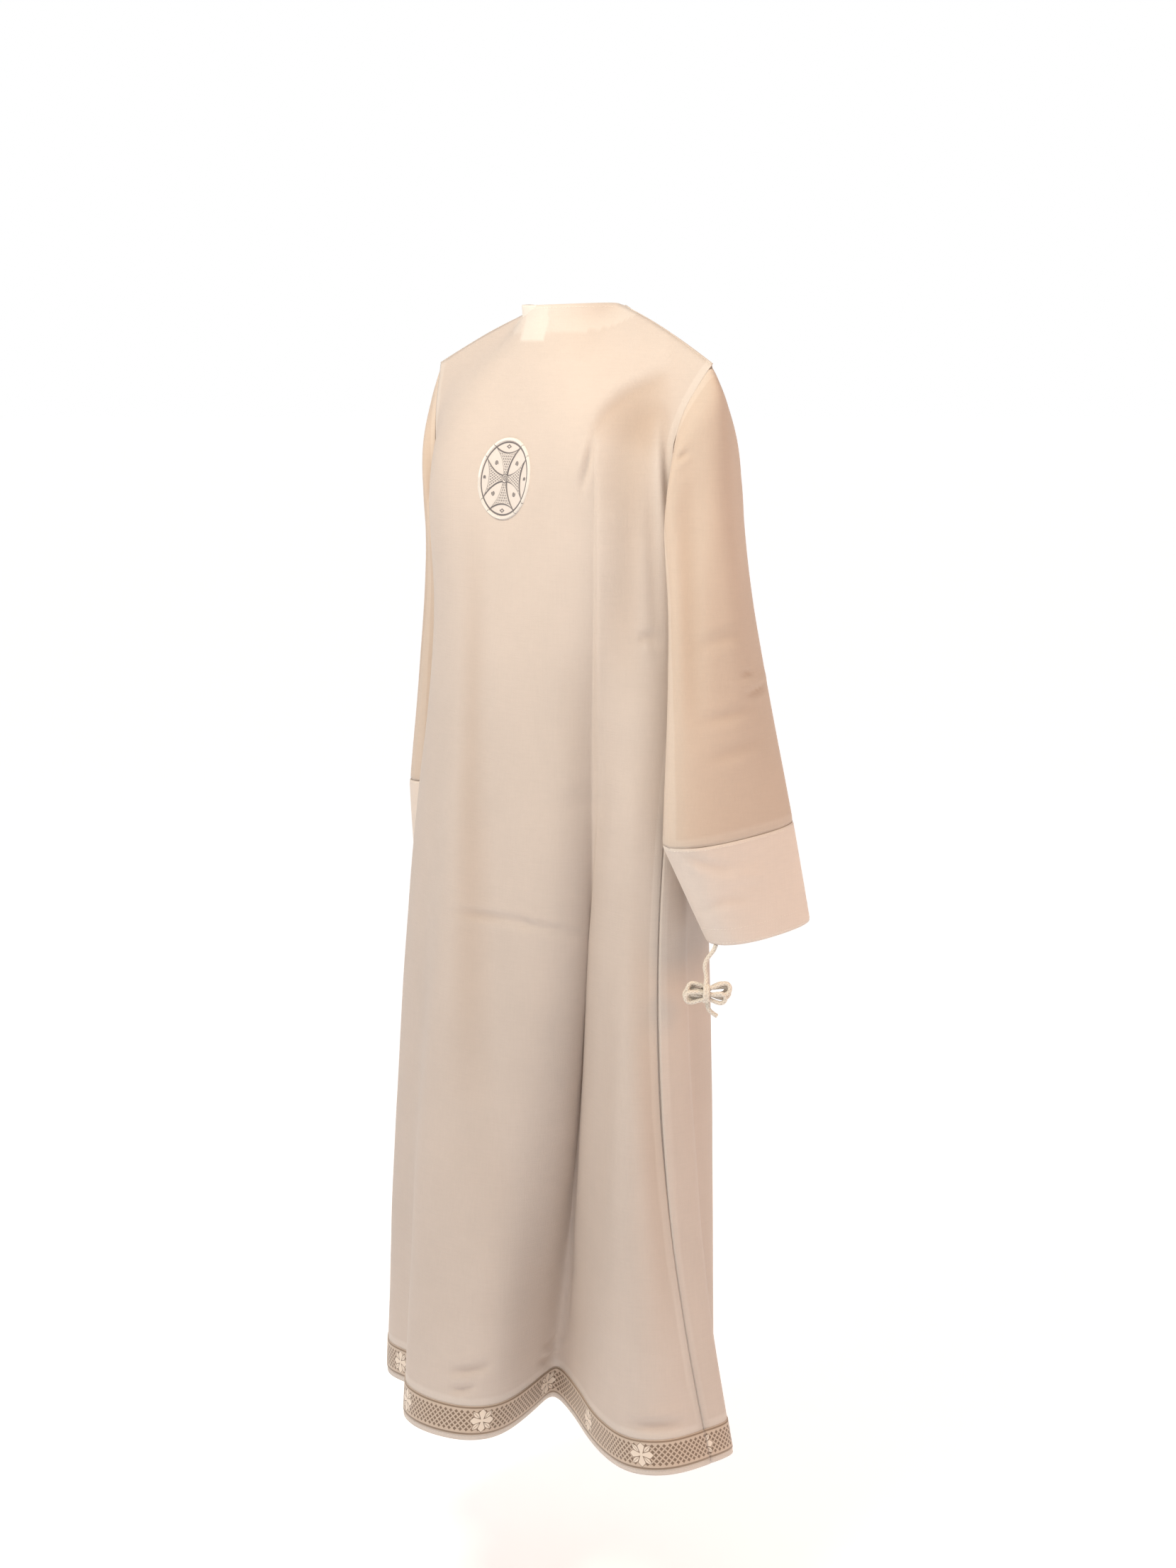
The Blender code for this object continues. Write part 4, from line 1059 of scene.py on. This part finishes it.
# Tie cords: a short drop, a folded bundle wound twice, and a tail
cord = {
    "diameter": 0.0038,
    "route": ((0, 0, 0), (-0.0018, 0, -0.005), (-0.0060, 0.001, -0.0105), (-0.0092, 0.001, -0.0165),
              (-0.0092, 0.001, -0.0230), (-0.0078, 0.0005, -0.0285)),
    "tail": ((-0.0075, 0, -0.0523), (-0.0070, 0, -0.0560), (-0.0040, 0.001, -0.0600), (0.0015, 0.001, -0.0640)),
    "waist": (-0.0075, 0.0, -0.0428),
    # Folds in turn, right then left: tip, height of its middle, depth, tilt
    "folds": ((0.0145, -0.0385, -0.0030, 0.2), (-0.0285, -0.0462, -0.0032, -0.2), (0.0105, -0.0470, -0.0042, -0.3),
              (-0.0262, -0.0392, 0.0008, 0.3), (0.0140, -0.0430, 0.0012, 0.1), (-0.0290, -0.0455, 0.0042, 0.2),
              (0.0118, -0.0400, 0.0046, -0.2), (-0.0270, -0.0420, 0.0046, 0.1)),
    "fold": 0.0052,  # radius of a fold
    "waistSpots": ((-0.0030, 0.0035), (-0.0032, -0.0002), (-0.0030, -0.0038), (0.0006, -0.0036), (0.0006, 0.0036),
                   (0.0008, 0.0), (0.0038, -0.0030), (0.0038, 0.0008), (0.0036, 0.0040)),
    "wrap": 0.0076,  # radius of the two turns round the waist
    "ends": {
        "right": {"exit": (-0.224, 0.0179, -0.51805), "turn": 230},
        "left": {"exit": (0.226, 0.0029, -0.51805), "turn": -50},
    },
}


def cordPoints():
    # One line through the drop, each fold and the two turns, and down the tail.
    waist = Vector(cord["waist"])
    line = [Vector(p) for p in cord["route"]]
    spots = cord["waistSpots"]
    line.append(waist + Vector((-0.001, spots[0][0], 0.0066)))
    line.append(waist + Vector((0.0015, spots[0][0], spots[0][1] + 0.001)))
    for k, (tip, height, depth, tilt) in enumerate(cord["folds"]):
        side = 1 if k % 2 == 0 else -1
        flip = 1 if k % 4 < 2 else -1
        radius = cord["fold"]
        for angle in (80, 45, 0, -45, -80):
            a = math.radians(angle) * flip
            rise = radius * math.sin(a)
            out = tip - side * (radius + 0.0019) + side * radius * math.cos(a)
            line.append(Vector((out, depth + rise * math.sin(tilt), height + rise * math.cos(tilt))))
        if k + 1 < len(cord["folds"]):
            line.append(waist + Vector((0.0, *spots[k + 1])))
    for k in range(1, 17):
        a = math.radians(90 - 45 * k)
        drift = -0.0036 + 0.0044 * k / 16
        line.append(waist + Vector((drift, cord["wrap"] * 0.95 * math.cos(a), cord["wrap"] * math.sin(a))))
    line += [Vector(p) for p in cord["tail"][1:]]
    return line


def cordCurve(name, exit, turn):
    coarse = np.array([list(p) for p in cordPoints()])
    fine = splined(coarse[:, None], [8] * (len(coarse) - 1))[:, 0]
    for again in range(14):
        fine[1:-1] = fine[1:-1] * 0.5 + (fine[:-2] + fine[2:]) * 0.25
    run = np.concatenate([[0], np.cumsum(np.linalg.norm(np.diff(fine, axis=0), axis=1))])
    even = np.linspace(0, run[-1], 420)
    fine = np.stack([np.interp(even, run, fine[:, k]) for k in range(3)], axis=-1)
    matrix = Matrix.Translation(exit) @ Matrix.Rotation(math.radians(turn), 4, "Z")
    data = bpy.data.curves.new(name, "CURVE")
    data.dimensions = "3D"
    data.bevel_depth = cord["diameter"] / 2
    data.bevel_resolution = 4
    data.use_fill_caps = True
    spline = data.splines.new("POLY")
    spline.points.add(len(fine) - 1)
    places = [matrix @ Vector(p) for p in fine]
    for point, place in zip(spline.points, places):
        point.co = (*place, 1)
    return newObject(name, data), sum((b - a).length for a, b in zip(places, places[1:]))


def cordMaterial(turns):
    material, tree, principled = newMaterial("white cord", 0.75, 0.3)
    uv = shade(tree, "ShaderNodeSeparateXYZ", {0: shade(tree, "ShaderNodeTexCoord").outputs["UV"]})
    along = calc(tree, "MULTIPLY", uv.outputs[0], turns)
    around = calc(tree, "MULTIPLY", uv.outputs[1], 4.0)
    rise = tent(tree, calc(tree, "ADD", along, around), 1.0)
    fall = tent(tree, calc(tree, "SUBTRACT", along, around), 1.0)
    braid = calc(tree, "MAXIMUM", rise, fall)
    place = objectPlace(tree)
    fluff = shade(tree, "ShaderNodeTexNoise", {"Vector": place, "Scale": 1500.0, "Detail": 2.0})
    # Painted shade: the white cord is darker in the hollows of its braid, where the relief is low.
    colour = mixColour(tree, braid, (0.56, 0.50, 0.42, 1), (0.77, 0.715, 0.64, 1))
    height = calc(tree, "ADD", braid, calc(tree, "MULTIPLY", fluff.outputs[0], 0.4))
    surface(tree, principled, colour, height, 0.8, 0.0006)
    return material


cordCloth = cordMaterial(150.0)
for side, end in cord["ends"].items():
    made, length = cordCurve(f"{side}_tie", end["exit"], end["turn"])
    finishPiece(made, cordCloth, "white_cord", f"{side}_cord", f"{side}_cord_tail", f"{side}_cord_hank")
print("cords made")


# Solids that stay, with materials of their own
def buttonMaterial():
    material, tree, principled = newMaterial("white button", 0.25, 0.0)
    place = objectPlace(tree)
    pearl = shade(tree, "ShaderNodeTexNoise", {"Vector": place, "Scale": 300.0, "Detail": 2.0})
    tree.links.new(mixColour(tree, pearl.outputs[0], (0.83, 0.80, 0.76, 1), (0.93, 0.91, 0.88, 1)),
                   principled.inputs["Base Color"])
    return material


for node, material in (("button", buttonMaterial()), ("button_loop", thread)):
    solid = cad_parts[node]
    solid.data.materials.clear()
    solid.data.materials.append(material)


# Floor, light and world
stage = {
    "floor": -1.19,
    "reach": 90.0,
    "glow": 0.36,  # of the floor
    "target": Vector((0.0, 0.05, -0.10)),
    # To the camera's right, towards it and up from the target, then size, power and colour
    "lights": {
        "key": (-0.50, 0.70, 0.75, 0.6, 16.0, (1.0, 0.88, 0.70)),
        "fill": (1.9, 0.8, 0.45, 0.8, 14.0, (1.0, 0.50, 0.20)),
    },
    "nearWorld": (0.60, 0.572, 0.560),
    "farWorld": (1.0, 1.0, 1.0),
}


def floorAndLight():
    floorData = bpy.data.meshes.new("floor")
    bm = bmesh.new()
    bmesh.ops.create_grid(bm, x_segments=2, y_segments=2, size=stage["reach"])
    bmesh.ops.translate(bm, verts=bm.verts, vec=(0, 0, stage["floor"]))
    bm.to_mesh(floorData)
    bm.free()
    floor = newObject("floor", floorData)
    material, tree, principled = newMaterial("pale floor", 0.9, 0.0)
    grain = shade(tree, "ShaderNodeTexNoise", {"Vector": objectPlace(tree), "Scale": 40.0})
    tree.links.new(mixColour(tree, grain.outputs[0], (0.93, 0.93, 0.93, 1), (0.96, 0.96, 0.96, 1)),
                   principled.inputs["Base Color"])
    principled.inputs["Emission Color"].default_value = (1, 1, 1, 1)
    principled.inputs["Emission Strength"].default_value = stage["glow"]
    floorData.materials.append(material)
    floor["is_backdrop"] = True
    for name, (side, back, height, size, power, colour) in stage["lights"].items():
        data = bpy.data.lights.new(name, "AREA")
        data.shape, data.size, data.energy, data.color = "DISK", size, power, colour
        lamp = newObject(name, data)
        place = stage["target"] + rightward * side - level * back + Vector((0, 0, height))
        aim = (stage["target"] - place).to_track_quat("-Z", "Y").to_matrix().to_4x4()
        lamp.matrix_world = Matrix.Translation(place) @ aim
    world = bpy.data.worlds.new("studio")
    bpy.context.scene.world = world
    world.use_nodes = True
    tree = world.node_tree
    away = objectPlace(tree)
    turn = shade(tree, "ShaderNodeVectorMath", {0: away, 1: level}, operation="DOT_PRODUCT").outputs["Value"]
    share = shade(tree, "ShaderNodeMapRange", {"Value": turn, "From Min": 0.1, "From Max": 0.8}).outputs[0]
    colour = mixColour(tree, share, (*stage["nearWorld"], 1), (*stage["farWorld"], 1))
    tree.links.new(colour, tree.nodes["Background"].inputs["Color"])


floorAndLight()
bpy.context.scene.view_settings.view_transform = "Standard"
print("stage made")

sizes = {"cad": [list(corner) for corner in cadBox], "visual": [list(corner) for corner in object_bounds()]}
